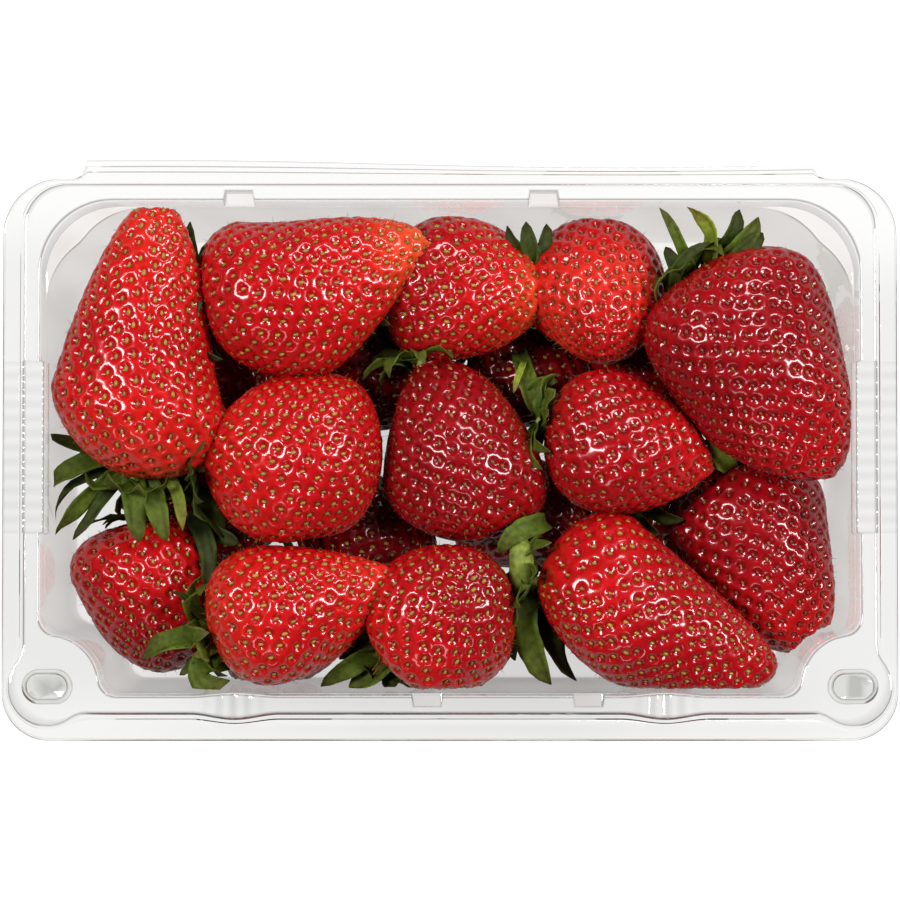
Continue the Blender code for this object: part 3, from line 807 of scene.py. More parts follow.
def nearest_two(points, seeds):
    """The distance to the nearest seed, its number, and the distance to the next nearest."""
    first, number, second = [], [], []
    for start in range(0, len(points), 4000):
        gap = ((points[start:start + 4000, None, :] - seeds[None]) ** 2).sum(axis=2)
        part = np.argpartition(gap, 1, axis=1)[:, :2]
        rows = np.arange(len(gap))
        a, b = gap[rows, part[:, 0]], gap[rows, part[:, 1]]
        first.append(np.minimum(a, b))
        second.append(np.maximum(a, b))
        number.append(np.where(a <= b, part[:, 0], part[:, 1]))
    return np.sqrt(np.concatenate(first)), np.concatenate(number), np.sqrt(np.concatenate(second))


def pitted_skin(berry, seeds, rings):
    """A berry's skin: points, faces, share of the length and depth into a pit, point by point."""
    scale = berry.scale(seeds)
    size = spacing(berry.share(seeds)) / 3.5
    centres = berry.skin(seeds)
    found = [seeds]
    for radius, number in rings:
        start = berry.rng.uniform(0, TURN, len(seeds))
        for k in range(number):
            angle = start + TURN * k / number
            step = (radius * size * scale)[:, None]
            found.append(seeds + step * np.column_stack((np.cos(angle), np.sin(angle))))
    disc = np.concatenate(found)
    owner = np.tile(np.arange(len(seeds)), len(found))
    own = np.linalg.norm(berry.skin(disc) - centres[owner], axis=1)
    gap, number, other = nearest_two(berry.skin(disc), centres)
    kept = (number == owner) & (other > own + 0.25)
    kept[:len(seeds)] = True
    disc = disc[kept]
    mesh = np.array(triangles(seeds))
    fill = seeds[mesh].mean(axis=1)
    gap, _, _ = nearest_two(berry.skin(fill), centres)
    disc = np.concatenate((disc, fill[(gap > 1.6) & (gap < 3.2)]))
    rim = math.exp(np.interp(STEM_PATCH * 0.7, berry.radius[::-1][:300], berry.log_disc[::-1][:300]))
    inside = np.hypot(disc[:, 0], disc[:, 1]) < rim * 0.93
    turn = np.linspace(0, TURN, 25)[:-1]
    edge = rim * np.column_stack((np.cos(turn), np.sin(turn)))
    disc = np.concatenate((disc[inside], edge, [[0, 1e-6]]))
    faces = triangles(disc)
    points = berry.skin(disc)
    gap, number, _ = nearest_two(points, centres)
    depth = np.interp(gap / size[number], PIT_AT, PIT_HEIGHT)
    normal, _ = berry.frame(disc)
    edge_at = len(disc) - 25
    depth[edge_at:edge_at + 24] = 0.0
    points = points + normal * depth[:, None]
    end = berry.stem + 0.02 * berry.length * berry.axis
    faces += [(edge_at + k, edge_at + (k + 1) % 24, len(points)) for k in range(24)]
    t = berry.share(disc)
    return np.vstack((points, end)), faces, np.append(t, 0), np.append(depth, 0)


print("pits", -PIT_HEIGHT[0], "mm deep")

# %% [markdown]
# ## Strawberry skin
#
# Ripe skin is a thin glossy layer over wet red flesh. Its red runs from orange where it ripened in
# shade to crimson where it is darkest, so the colour is stored point by point, with painted shade
# darkening the bottom of every pit, and the shader only adds what is the same for all: a little
# mottling and the wet gloss.

# %% Strawberry skin


def tinted_material(name, roughness, ior, mottle, mottle_scale, coat):
    """A material whose colour comes from the points, with a fine mottling."""
    material, tree = new_material(name)
    tint = add_node(tree, "ShaderNodeVertexColor", {"layer_name": "tint"}, {})
    place = add_node(tree, "ShaderNodeTexCoord", {}, {})
    noise = add_node(tree, "ShaderNodeTexNoise", {}, {"Vector": place.outputs["Object"], "Scale": mottle_scale / MM, "Detail": 3.0})
    level = add_node(tree, "ShaderNodeMapRange", {}, {"Value": noise.outputs["Fac"], "From Min": 0.3, "From Max": 0.7, "To Min": 1 - mottle, "To Max": 1 + mottle})
    shade = add_node(tree, "ShaderNodeVectorMath", {"operation": "SCALE"}, {"Vector": tint.outputs["Color"], "Scale": level.outputs["Result"]})
    surface = add_node(tree, "ShaderNodeBsdfPrincipled", {}, {
        "Base Color": shade.outputs["Vector"], "Roughness": roughness, "IOR": ior,
        "Coat Weight": coat, "Coat Roughness": 0.08, "Coat IOR": 1.4})
    add_node(tree, "ShaderNodeOutputMaterial", {}, {"Surface": surface.outputs["BSDF"]})
    return material


skin_material = tinted_material("ripe_strawberry_skin", 0.24, 1.38, 0.14, 0.35, 0.7)
seed_material = tinted_material("ripe_achene", 0.4, 1.4, 0.18, 1.1, 0.2)


def blend(stops, t):
    """Colours at shares t between evenly spaced hex stops."""
    values = np.array([colour(code)[:3] for code in stops])
    at = np.linspace(0, 1, len(stops))
    return np.column_stack([np.interp(t, at, values[:, k]) for k in range(3)])


# %% [markdown]
# ## The berries on top
#
# Thirteen berries show from above. Each has its stem end and tip, its thickness, its left and right
# flanks as seen from the stem end, and the reds it runs through from stem end to tip. Seven reds
# are enough: a berry that ripened in shade ends orange, and one that hung in the sun is crimson.

# %% The berries on top
ORANGE, FLUSHED, BRIGHT, RIPE = "#d4481e", "#c22618", "#b6120f", "#a80a0e"
CRIMSON, DARK, DARKEST = "#94070d", "#82050d", "#6c0509"
TOP_BERRIES = (
    # a tall pear with a long neck, in the back left corner
    ((-67.4, -5, 40), (-61.3, 54, 50), 32, (19.5, 0.30, 1.7, 0.95, 2.1), (19.8, 0.27, 2.4, 0.62, 1.95),
     (FLUSHED, BRIGHT, RIPE, BRIGHT, FLUSHED)),
    # its neighbour, which ends in an orange beak
    ((-51.5, 28.5, 41), (-4.3, 44, 49), 31, (18, 0.25, 2.4, 0.78, 2.3), (18.5, 0.40, 2.2, 1.45, 1.05),
     (RIPE, RIPE, RIPE, BRIGHT, ORANGE)),
    ((-14, 35.5, 36), (22.3, 33.6, 39), 30, (15.5, 0.40, 2.4, 2.2, 1.7), (15, 0.33, 2.6, 1.8, 1.3),
     (CRIMSON, CRIMSON, RIPE, BRIGHT, ORANGE)),
    # one that points up and forward
    ((29, 43, 24), (33.5, 23.5, 51), 30, (15.5, *EVEN_FLANK), (15, *EVEN_FLANK),
     (DARK, CRIMSON, BRIGHT, FLUSHED, RIPE)),
    # the big dark one in the back right corner
    ((52, 38.8, 44), (81.8, -5, 45), 32, (21, 0.26, 2.0, 1.6, 1.6), (19, 0.36, 3.0, 2.2, 1.5),
     (CRIMSON, DARK, DARK, CRIMSON, RIPE)),
    # two blunt ones in the middle
    ((-52.5, -3, 42), (-14.5, 3, 42), 32, (16, 0.60, 1.9, 3.8, 2.6), (20, 0.50, 2.0, 2.6, 1.6),
     (BRIGHT, BRIGHT, RIPE, RIPE, RIPE)),
    ((-6.5, 19.5, 39), (8.5, -18.5, 38), 31, (17, 0.55, 1.9, 3.6, 2.8), (16.5, 0.55, 1.35, 2.0, 1.5),
     (DARKEST, DARK, DARK, DARK, CRIMSON)),
    ((20.5, 6, 42), (56.5, -3, 41), 28, (14.5, 0.40, 2.8, 2.0, 1.15), (15.5, 0.44, 2.0, 1.7, 1.3),
     (CRIMSON, CRIMSON, CRIMSON, RIPE, BRIGHT)),
    # the tapered one along the right side
    ((61, 0, 25), (75, -42, 31), 31, (16.5, 0.32, 2.0, 1.0, 2.9), (18.5, 0.33, 2.0, 1.5, 1.8),
     (DARK, DARK, DARK, CRIMSON, BRIGHT)),
    # a stubby one in the front left corner
    ((-66, -14, 24), (-62, -46.5, 25), 30, (16.5, 0.45, 2.4, 2.0, 2.3), (17.5, 0.33, 2.4, 1.2, 1.8),
     (BRIGHT, RIPE, RIPE, CRIMSON, DARK)),
    ((-51.5, -36, 40), (-11, -26, 45), 30, (13, 0.30, 2.2, 1.3, 1.5), (18, 0.38, 2.3, 1.6, 0.9),
     (FLUSHED, BRIGHT, RIPE, BRIGHT, FLUSHED)),
    # one that points up and back
    ((-9, -43, 33), (8.8, -24.8, 52), 30, (16, *EVEN_FLANK), (16.5, *EVEN_FLANK),
     (RIPE, BRIGHT, RIPE, CRIMSON, DARK)),
    # the long one along the front
    ((18.5, -27, 42), (70, -45.6, 40), 31, (19, 0.27, 2.3, 0.9, 1.55), (16, 0.42, 1.5, 1.35, 2.1),
     (RIPE, RIPE, CRIMSON, CRIMSON, RIPE)),
)
PIT_SHADE = 0.55  # painted shade: the skin darkens towards the bottom of a pit, where shade falls
top_berries = []
for number, (stem, tip, thickness, left, right, reds) in enumerate(TOP_BERRIES, 1):
    berry = Berry(number, stem, tip, thickness, left, right)
    berry.seeds = seed_places(berry)
    points, faces, t, depth = pitted_skin(berry, berry.seeds, FINE_RINGS)
    piece = new_piece(f"berry_{number:02d}", points, faces, skin_material, "strawberry_heap")
    tints = blend(reds, t)
    # Painted shade in every pit.
    deep = np.clip(-depth / -PIT_HEIGHT[0], 0, 1)[:, None]
    tints *= 1 - (1 - PIT_SHADE) * deep
    set_tints(piece, tints)
    top_berries.append(berry)
print(len(top_berries), "berries with", sum(len(b.seeds) for b in top_berries), "seeds")
print("the first has", len(faces), "triangles")

# %% [markdown]
# ## Seeds
#
# Each seed is a small teardrop, 1.4 mm long, half sunk in the bottom of its pit with its point
# towards the berry's tip. All of them are one piece. Some berries have golden seeds and the darkest
# ones have reddish seeds.

# %% Seeds
SEED_LENGTH, SEED_WIDTH, SEED_HEIGHT = 1.7, 1.0, 0.5
SEED_LIFT = -0.62  # where a seed's middle lies, from the skin


def seed_shape(sides, belts):
    """A teardrop as points (along, across, up) and faces."""
    points, faces = [(0, 0, 1)], []
    for height, width in belts:
        for k in range(sides):
            angle = TURN * k / sides
            taper = 1 - 0.35 * math.cos(angle) * abs(math.cos(angle))
            points.append((math.cos(angle) * width, math.sin(angle) * width * taper, height))
    points.append((0, 0, -0.6))
    last = len(points) - 1
    for k in range(sides):
        n = (k + 1) % sides
        faces.append((0, 1 + k, 1 + n))
        for b in range(len(belts) - 1):
            low, high = 1 + (b + 1) * sides, 1 + b * sides
            faces.append((high + k, low + k, low + n, high + n))
        base = 1 + (len(belts) - 1) * sides
        faces.append((base + k, last, base + n))
    return np.array(points, float), faces


def lay_seeds(berry, shape, seed_reds, size=1.0):
    """Every seed of a berry as points, faces and tints."""
    unit, unit_faces = shape
    base = berry.skin(berry.seeds)
    normal, tipward = berry.frame(berry.seeds)
    across = np.cross(normal, tipward)
    grown = berry.rng.normal(size, 0.07, len(base))[:, None]
    points = base[:, None] + (
        unit[None, :, 0, None] * (tipward * grown * SEED_LENGTH / 2)[:, None]
        + unit[None, :, 1, None] * (across * grown * SEED_WIDTH / 2)[:, None]
        + (unit[None, :, 2, None] * SEED_HEIGHT + SEED_LIFT) * normal[:, None])
    faces = [tuple(i + start for i in face) for start in range(0, len(base) * len(unit), len(unit)) for face in unit_faces]
    tints = blend(seed_reds, berry.rng.uniform(0, 1, len(base)))
    return points.reshape(-1, 3), faces, np.repeat(tints, len(unit), axis=0)


RED_SEED, BROWN_SEED = ("#741812", "#842614", "#96541c"), ("#80381a", "#985a20")
SEED_COLOURS = {4: BROWN_SEED, 5: RED_SEED, 7: BROWN_SEED, 8: BROWN_SEED, 9: RED_SEED}
SEED_SIZES = {4: 0.75, 5: 0.8, 7: 0.82, 8: 0.82, 9: 0.78, 10: 0.8, 12: 0.88, 13: 0.88}
GOLDEN_SEED = ("#80541a", "#a07428", "#8c6c20")
fine_seed = seed_shape(6, ((0.55, 0.72), (0.0, 1.0)))
laid = []
for number, berry in enumerate(top_berries, 1):
    laid.append(lay_seeds(berry, fine_seed, SEED_COLOURS.get(number, GOLDEN_SEED), SEED_SIZES.get(number, 0.92)))
points, faces = joined([(p, f) for p, f, _ in laid])
seeds = new_piece("seeds_on_top", points, faces, seed_material, "strawberry_heap")
set_tints(seeds, np.concatenate([c for _, _, c in laid]))
print(len(faces), "faces of seeds")

# %% [markdown]
# ## Dry hairs
#
# Every seed once carried a style, and about half of these fine dry threads are still on. They stand
# up to 2 mm out of the pits and show best against the light edge of a berry.

# %% Dry hairs
HAIR_SHARE, HAIR_THICK = 0.55, 0.10


def lay_hairs(berry):
    """The hairs of a berry, each a thin pyramid, as points and faces."""
    rng = berry.rng
    kept = berry.seeds[rng.uniform(0, 1, len(berry.seeds)) < HAIR_SHARE]
    normal, tipward = berry.frame(kept)
    across = np.cross(normal, tipward)
    lean = rng.normal(0, 0.45, (len(kept), 2))
    way = normal + tipward * lean[:, :1] + across * lean[:, 1:]
    way /= np.linalg.norm(way, axis=1)[:, None]
    root = berry.skin(kept) - normal * 0.4 - tipward * 0.45
    corners = [root + HAIR_THICK * (math.cos(a) * tipward + math.sin(a) * across) for a in (0, TURN / 3, 2 * TURN / 3)]
    end = root + way * rng.uniform(1.0, 2.0, (len(kept), 1))
    points = np.stack((*corners, end), axis=1).reshape(-1, 3)
    faces = []
    for k in range(0, len(points), 4):
        faces += [(k, k + 1, k + 3), (k + 1, k + 2, k + 3), (k + 2, k, k + 3), (k + 2, k + 1, k)]
    return points, faces


points, faces = joined([lay_hairs(berry) for berry in top_berries])
hairs = new_piece("hairs", inside_tray(points, 0.1), faces, seed_material, "strawberry_heap")
set_tints(hairs, np.array([colour("#94602a")[:3]] * len(points)))
print(len(faces) // 4, "hairs")

# %% [markdown]
# ## The berries underneath
#
# A dozen more berries fill the bottom. They show only through gaps and through the clear walls, so
# they need fewer points round each seed.

# %% The berries underneath
LOWER_BERRIES = (
    ((-62, 30, 15), (-68, 3, 15), 24, 26),
    ((-63, 20, 16), (-33, 13, 17), 27, 28),
    ((-28, 24, 16), (0, 14, 17), 27, 28),
    ((4, 22, 17), (32, 15, 16), 25, 28),
    ((34, 34, 15), (59, 12, 17), 28, 28),
    ((-66, -4, 15), (-38, -17, 17), 25, 28),
    ((-32, -12, 16), (-3, -21, 18), 26, 28),
    ((2, -8, 15), (31, -17, 17), 26, 28),
    ((38, -8, 16), (60, -26, 15), 27, 27),
    ((-50, -38, 15), (-22, -38, 14), 24, 26),
    ((56, -36, 14), (26, -38, 14), 22, 25),
    ((74, 34, 15), (72, 6, 15), 25, 27),
)
# The berries underneath take the darkest reds, partly their own colour and partly painted shade, since they lie in the
# shadow of the top layer.
LOWER_REDS_WITH_SHADE = ((DARK, DARKEST, DARKEST), (DARKEST, DARKEST, DARK), (CRIMSON, DARK, DARKEST))
lower_berries = []
for number, (stem, tip, width, thickness) in enumerate(LOWER_BERRIES, 1):
    flank = (width / 2, *EVEN_FLANK)
    berry = Berry(50 + number, stem, tip, thickness, flank, flank)
    berry.seeds = seed_places(berry)
    points, faces, t, depth = pitted_skin(berry, berry.seeds, COARSE_RINGS)
    piece = new_piece(f"low_berry_{number:02d}", points, faces, skin_material, "strawberry_heap")
    # Painted shade in every pit.
    deep = np.clip(-depth / -PIT_HEIGHT[0], 0, 1)[:, None]
    set_tints(piece, blend(LOWER_REDS_WITH_SHADE[number % 3], t) * (1 - (1 - PIT_SHADE) * deep))
    lower_berries.append(berry)
print("the last has", len(faces), "triangles")
coarse_seed = seed_shape(5, ((0.0, 1.0),))
laid = [lay_seeds(b, coarse_seed, GOLDEN_SEED) for b in lower_berries]
points, faces = joined([(p, f) for p, f, _ in laid])
seeds = new_piece("seeds_underneath", points, faces, seed_material, "strawberry_heap")
set_tints(seeds, np.concatenate([c for _, _, c in laid]))

# %% [markdown]
# ## Leaves
#
# The cap of a strawberry is a calyx: about ten small pointed leaves round a stub of stalk, which fold
# back as the berry swells. Each leaf is a thin strip along a curve through a few points, widest a
# third of the way along, folded down its middle and ruffled at its edges.

# %% Leaves
LEAF_THICK = 0.25


def along_curve(knots, shares):
    """Points of the Bezier curve that a few knots pull along."""
    layer = [np.outer(np.ones(len(shares)), k) for k in np.array(knots, float)]
    while len(layer) > 1:
        layer = [a + (b - a) * shares[:, None] for a, b in zip(layer, layer[1:])]
    return layer[0]


def leaf(knots, width, up, rng, fold=0.45, rows=11):
    """A leaf as points, faces and how far each point is from root to tip and from its midrib."""
    shares = np.linspace(0, 1, rows)
    spine = along_curve(knots, shares)
    ahead = np.gradient(spine, axis=0)
    ahead /= np.linalg.norm(ahead, axis=1)[:, None]
    across = np.cross(ahead, np.array(up, float))
    across /= np.maximum(np.linalg.norm(across, axis=1), 1e-6)[:, None]
    over = np.cross(across, ahead)
    twist = (rng.normal(0, 0.5) * shares + rng.normal(0, 0.2))[:, None]
    across, over = across * np.cos(twist) + over * np.sin(twist), over * np.cos(twist) - across * np.sin(twist)
    half = width / 2 * np.maximum((1 - shares) ** 0.6 * (0.65 + 1.1 * shares) / 0.87, 0.05)
    half = half * rng.uniform(0.93, 1.07, rows)
    phase = rng.uniform(0, TURN, 2)
    layers, reach = [], []
    for side in (1, -1):
        for v in (-1, -0.5, 0, 0.5, 1):
            ruffle = 0.30 * half * np.sin(shares * 10 + phase[0 if v < 0 else 1]) * abs(v)
            rise = fold * half * abs(v) + ruffle + side * LEAF_THICK / 2 * (1 - 0.6 * abs(v))
            layers.append(spine + across * (half * v)[:, None] + over * rise[:, None])
            reach.append(np.column_stack((shares, np.full(rows, abs(v)))))
    points = np.stack(layers, axis=1).reshape(-1, 3)
    loop = [0, 1, 2, 3, 4, 9, 8, 7, 6, 5]
    faces = []
    for row in range(rows - 1):
        for a, b in zip(loop, loop[1:] + loop[:1]):
            faces.append((row * 10 + a, row * 10 + b, row * 10 + 10 + b, row * 10 + 10 + a))
    faces.append(tuple(loop[::-1]))
    faces.append(tuple((rows - 1) * 10 + i for i in loop))
    return points, faces, np.stack(reach, axis=1).reshape(-1, 2)


GREENS = (
    ("#1f2607", "#2b360b", "#2a2a0a"),  # dark
    ("#34400c", "#425012", "#3e3e12"),  # middling
    ("#566018", "#6c7824", "#62561e"),  # light
    ("#848a30", "#9c9c46", "#867434"),  # pale and curled
)


def leaf_tints(reach, green, rng):
    """Colours along a leaf: lighter at its edges, and browner at its tip."""
    tints = blend(GREENS[green], reach[:, 0])
    tints *= 1 + 0.45 * (reach[:, 1:] > 0.8) + 0.2 * (reach[:, 1:] < 0.1) + rng.normal(0, 0.07, (len(reach), 1))
    return tints


leaf_material = tinted_material("strawberry_leaf", 0.6, 1.25, 0.35, 0.8, 0.0)
made_leaves, made_tints = [], []


def add_leaf(knots, width, up=(0, 0, 1), green=0, fold=0.45, rows=11, rng=np.random.default_rng(7)):
    points, faces, reach = leaf(knots, width, up, rng, fold, rows)
    made_leaves.append((points, faces))
    made_tints.append(leaf_tints(reach, green, rng))


print("a leaf has", len(leaf(((0, 0, 0), (5, 0, 0)), 4, (0, 0, 1), np.random.default_rng(1))[0]), "points")

# %% [markdown]
# ## Calyx of every berry
#
# A calyx goes round each stem end. Its leaves start at the stalk, rise a little off the shoulder and
# droop towards the tip, each at its own length, width and lift.

# %% Calyx of every berry


def add_calyx(berry, count, length, green, rows):
    rng = berry.rng
    root = berry.stem - 0.6 * berry.axis
    start = rng.uniform(0, TURN)
    for k in range(count):
        turn = start + TURN * k / count + rng.normal(0, 0.12)
        away = math.cos(turn) * berry.side + math.sin(turn) * berry.up
        reach = length * rng.uniform(0.8, 1.15)
        lift = rng.uniform(0.5, 3.5)
        knots = (
            root, root + away * reach * 0.5 - berry.axis * lift,
            root + away * reach * 0.85 - berry.axis * lift * 0.8,
            root + away * reach + berry.axis * rng.uniform(-1.5, 3.0))
        add_leaf(knots, rng.uniform(3.4, 5.0), -berry.axis, green, 0.3, rows, rng)


# Calyx leaves take only the two darkest greens: painted shade, as most of them lie in shadow between the berries.
for berry in top_berries:
    add_calyx(berry, 9, 11.0, int(berry.rng.integers(0, 2)), 7)
for berry in lower_berries:
    add_calyx(berry, 8, 10.5, int(berry.rng.integers(0, 2)), 6)
print(len(made_leaves), "leaves in calyces")

# %% [markdown]
# ## Leaves that show
#
# Some leaves stick out between the berries, and these are laid one by one, each with its knots from
# root to tip, its width and its green.

# %% Leaves that show
LEAVES = (
    # fan under the first berry's stem end
    (((-70, -1, 36), (-76, 2, 39), (-82, 2, 42), (-85.6, 4.0, 44)), 3.0, 0),
    (((-70, -1, 36), (-78, -1, 40), (-83, -4, 41), (-86.2, -7, 38)), 4.4, 1),
    (((-70, -2, 36), (-78, -4, 39), (-84, -9, 38), (-85.2, -14.2, 36)), 2.8, 0),
    (((-69, -3, 37), (-75, -6, 41), (-81, -12, 40), (-85.2, -17.2, 37)), 3.8, 1),
    (((-69, -3, 37), (-73, -9, 40), (-77, -14, 40), (-80.5, -18.4, 39)), 2.8, 0),
    (((-68, -3, 38), (-67.5, -8, 42), (-67.2, -14, 42.5), (-66.2, -19, 41)), 5.0, 1),
    (((-66, -3, 38), (-63, -8, 42), (-62, -14, 43), (-60.4, -18.8, 41.5)), 4.7, 1),
    (((-65, -3, 37), (-58, -4, 40), (-57, -10, 42), (-57, -16.5, 41)), 2.9, 2),
    (((-63, -3, 34), (-55, -6, 36), (-51, -12, 36), (-48.2, -18, 34)), 4.6, 0),
    (((-56, -13, 32), (-51, -17, 35), (-51, -23, 36), (-52.2, -28.5, 35)), 4.0, 0),
    (((-54, -15, 30), (-49, -17, 34), (-45, -19, 36)), 3.6, 0),
    # by the second berry's stem end
    (((-52, 32, 38), (-55, 37, 42), (-56, 43, 43), (-55.5, 49.5, 42)), 3.6, 0),
    (((-51, 31, 36), (-53, 36, 40), (-53.2, 41, 42), (-52, 45, 42)), 3.2, 1),
    (((-50, 26, 36), (-55, 27, 38), (-56, 34, 38)), 4.0, 0),
    # behind the third and fourth berries
    (((18, 36, 38), (15, 42, 43), (12.2, 48.6, 42)), 3.8, 0),
    (((19, 36, 38), (17, 43, 44), (16.2, 49.4, 43)), 3.9, 0),
    (((20, 37, 38), (20, 43, 44), (20.6, 49.0, 42)), 3.8, 0),
    # the fifth berry's cap
    (((53, 37, 43), (49.2, 41.5, 49), (48.8, 46, 51), (44.4, 52, 50)), 2.6, 1),
    (((55, 39, 43), (57.2, 46, 50), (55, 49.5, 53), (50.2, 52, 51)), 3.5, 2),
    (((50, 31, 42), (45, 37, 47), (49, 42, 51), (55, 44.4, 50)), 2.8, 0),
    (((56, 39, 43), (59, 44, 49), (60.5, 48, 50), (61.5, 51.5, 48)), 3.8, 0),
    (((56, 39, 43), (61, 43, 49), (64, 46.5, 50), (65.6, 50.0, 47)), 4.2, 1),
    (((57, 38, 43), (61, 41, 49), (64.5, 44, 50), (66.5, 46.6, 47)), 4.2, 0),
    (((53, 37, 41), (50, 38, 44), (47, 41, 45), (46, 44, 43)), 3.6, 0),
    # in the gap between the second, third and seventh berries
    (((-13, 34, 28), (-14.5, 29, 33), (-14.5, 23, 34), (-13.6, 16, 31)), 4.2, 0),
    (((-8, 20, 34), (-12, 21, 36), (-17, 20, 35)), 4.0, 1),
    (((-8, 22, 33), (-7.5, 24, 36), (-10, 25.5, 36)), 3.2, 0),
    # between the third, fourth, seventh and eighth
    (((15, 22, 30), (16, 18, 36), (17, 14, 38), (17.8, 8.5, 37)), 4.0, 1),
    (((17, 13, 36), (19, 16, 39), (23, 15.4, 40)), 3.0, 1),
    (((16, 20, 34), (14.5, 17, 38), (13.6, 13, 38)), 1.4, 2),
    (((20, 6, 38), (17, 3, 38), (18, -1, 36)), 4.0, 1),
    (((20, 8, 40), (18.6, 12, 42), (20.6, 16, 40)), 3.0, 1),
    # by the ninth berry's stem end, and in front of the eighth
    (((61, -1, 30), (58, 3, 37), (54, 2.5, 39)), 3.4, 1),
    (((60, -3, 37), (57.6, 0, 41), (55.4, 3.2, 42)), 4.2, 2),
    (((38, -8, 26), (43, -12, 34), (50, -14, 37)), 4.6, 0),
    (((36, -10, 24), (40, -15, 32), (45, -17, 34)), 4.2, 0),
    # the eleventh berry's cap
    (((-50, -36, 38), (-54, -34.5, 44), (-56, -31, 46), (-58.8, -29.6, 44)), 2.3, 0),
    (((-49, -38, 38), (-55, -38.5, 44), (-60, -40.5, 44), (-65.8, -43.6, 39)), 5.8, 1),
    (((-49, -40, 38), (-51, -42, 42), (-54.4, -43.2, 42)), 2.8, 2),
    (((-49, -41, 38), (-54, -46, 42), (-55, -51, 42), (-46.8, -48.4, 43)), 5.6, 1),
    (((-50, -42, 36), (-54, -44.5, 38), (-57.8, -47.2, 36)), 2.6, 1),
    # the twelfth berry's cap
    (((-11, -40, 34), (-16, -38, 39), (-20, -40.5, 39), (-23.6, -43.8, 37)), 5.0, 0),
    (((-11, -42, 34), (-17, -42, 40), (-23, -46, 40), (-27.6, -49.6, 37)), 4.3, 1),
    (((-11, -43, 34), (-15, -45, 39), (-18, -49, 39), (-21.6, -51.4, 37)), 5.4, 1),
    (((-10, -43, 34), (-11, -48, 38), (-8, -50.5, 38), (-4.6, -52.4, 37)), 2.2, 2),
    (((-10, -43, 33), (-13, -47, 37), (-13, -51, 36)), 4.2, 0),
    # the thirteenth berry's cap
    (((18, -28, 36), (14, -34, 39), (11, -42, 37), (6.6, -49.6, 34)), 5.0, 0),
    (((18, -28, 38), (14.5, -35, 42), (17, -43, 42), (21.6, -49.2, 38)), 5.6, 1),
    (((19, -30, 34), (18, -38, 38), (22, -44, 38), (27, -48.4, 35)), 5.4, 0),
    (((18, -28, 34), (15, -38, 36), (18, -46, 34)), 6.0, 1),
    (((16, -24, 36), (12.6, -30, 39), (12.2, -37, 39), (11, -46, 35)), 5.6, 0),
    (((17, -26, 30), (12, -28, 32), (11, -36, 31), (14, -44, 30)), 7.0, 0),
    # the pale curled leaf between the seventh, twelfth and thirteenth
    (((20.4, -14.5, 40), (17, -16, 46), (13, -16, 48), (10.4, -21.5, 45)), 4.4, 1),
)
for knots, width, green in LEAVES:
    add_leaf(knots, 1.12 * width, green=green)
points, faces = joined(made_leaves)
leaves = new_piece("leaves", inside_tray(points, 0.1), faces, leaf_material, "strawberry_heap")
set_tints(leaves, np.concatenate(made_tints))
print(len(made_leaves), "leaves,", len(faces), "faces")

# %% [markdown]
# ## Stalks
#
# Each cap keeps a stub of the stalk it hung from, picked off a few millimetres above the leaves. One
# stub stands up between the berries and shows its pale side.

# %% Stalks


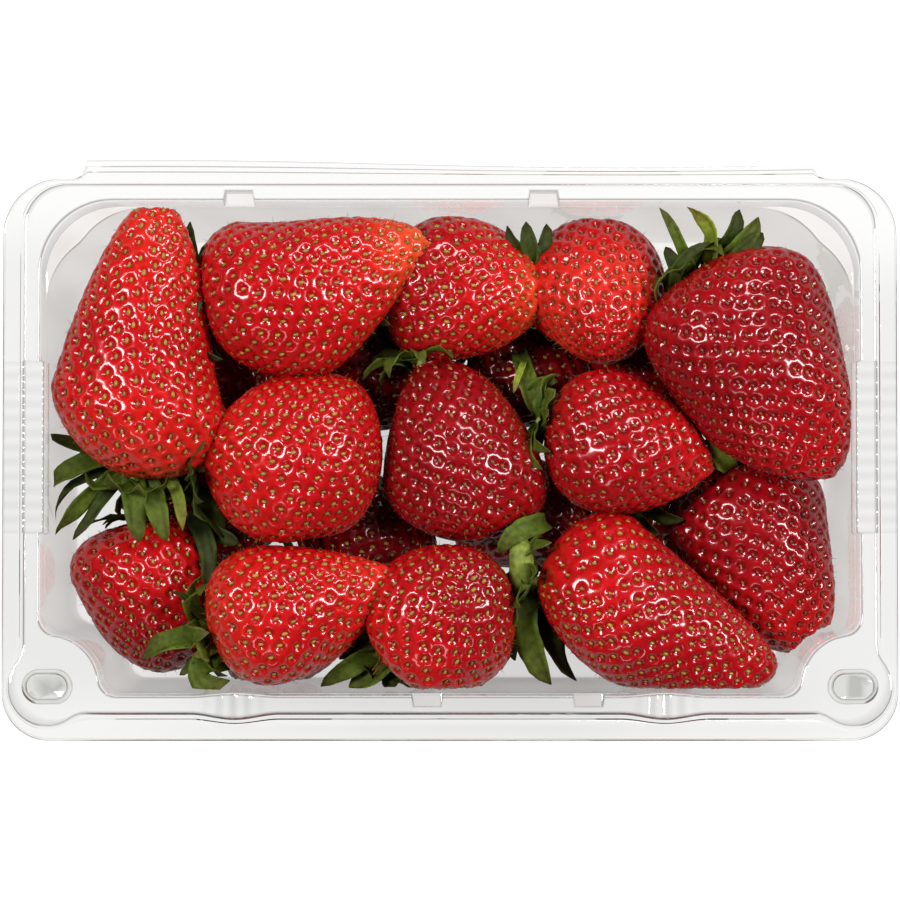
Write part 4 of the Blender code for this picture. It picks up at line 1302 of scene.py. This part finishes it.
def stalk(knots, radii, sides=10, rows=9):
    """A round stub along a curve, closed at both ends."""
    shares = np.linspace(0, 1, rows)
    spine = along_curve(knots, shares)
    ahead = np.gradient(spine, axis=0)
    ahead /= np.linalg.norm(ahead, axis=1)[:, None]
    aside = np.cross(ahead, (0.3, 0.2, 1))
    aside /= np.linalg.norm(aside, axis=1)[:, None]
    over = np.cross(ahead, aside)
    girths = np.interp(shares, np.linspace(0, 1, len(radii)), radii)
    turn = np.linspace(0, TURN, sides + 1)[:-1]
    points = (spine[:, None] + girths[:, None, None] * (
        np.cos(turn)[None, :, None] * aside[:, None] + np.sin(turn)[None, :, None] * over[:, None])).reshape(-1, 3)
    faces = [tuple(range(sides))[::-1], tuple((rows - 1) * sides + k for k in range(sides))]
    for row in range(rows - 1):
        for k in range(sides):
            n = (k + 1) % sides
            faces.append((row * sides + k, row * sides + n, row * sides + sides + n, row * sides + sides + k))
    return points, faces


stubs = []
for berry in top_berries + lower_berries:
    reach = berry.rng.uniform(2.5, 5)
    bend = berry.rng.normal(0, 0.5, 3)
    start = berry.stem + 1.0 * berry.axis
    stubs.append(stalk((start, start - berry.axis * reach * 0.6 + bend, start - berry.axis * reach + bend * 2), (1.1, 0.9, 0.8), 8, 4))
stubs.append(stalk(((14.4, -18, 44), (15.6, -22, 47), (15.2, -26, 46), (14.9, -30.6, 41)), (1.6, 2.5, 2.7, 2.6, 1.2), 14, 12))
STAMENS = (((-51.5, -38.5, 43), (-1.0, -0.35), 9), ((-13.5, -43.5, 40), (-0.6, -0.8), 12), ((18, -33, 40), (-0.5, -0.8), 6))
rng = np.random.default_rng(21)
threads = []
for root, way, count in STAMENS:
    for _ in range(count):
        start = np.array(root) + rng.uniform(-1.2, 1.2, 3) * (1.6, 1.6, 0.6)
        turn = math.atan2(way[1], way[0]) + rng.normal(0, 0.6)
        out = np.array((math.cos(turn), math.sin(turn), 0.0)) * rng.uniform(1.8, 3.6)
        threads.append(stalk((start, start + out * 0.6 + (0, 0, 1.2), start + out), (0.16, 0.13, 0.24), 4, 5))
points, faces = joined(threads)
stamens = new_piece("stamens", inside_tray(points, 0.1), faces, leaf_material, "strawberry_heap")
set_tints(stamens, np.array([colour("#7a4a1c")[:3]] * len(points)))
points, faces = joined(stubs)
stalks = new_piece("stalks", inside_tray(points, 0.1), faces, leaf_material, "strawberry_heap")
tints = np.array([colour("#8f9440")[:3]] * len(points))
tints[-14 * 12:] = colour("#6c7830")[:3]
set_tints(stalks, tints)
print(len(stubs), "stubs")

# %% Measure and finish
size = {"cad": [list(cad_low), list(cad_high)], "visual": [list(corner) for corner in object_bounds()]}
print("visual box", size["visual"])
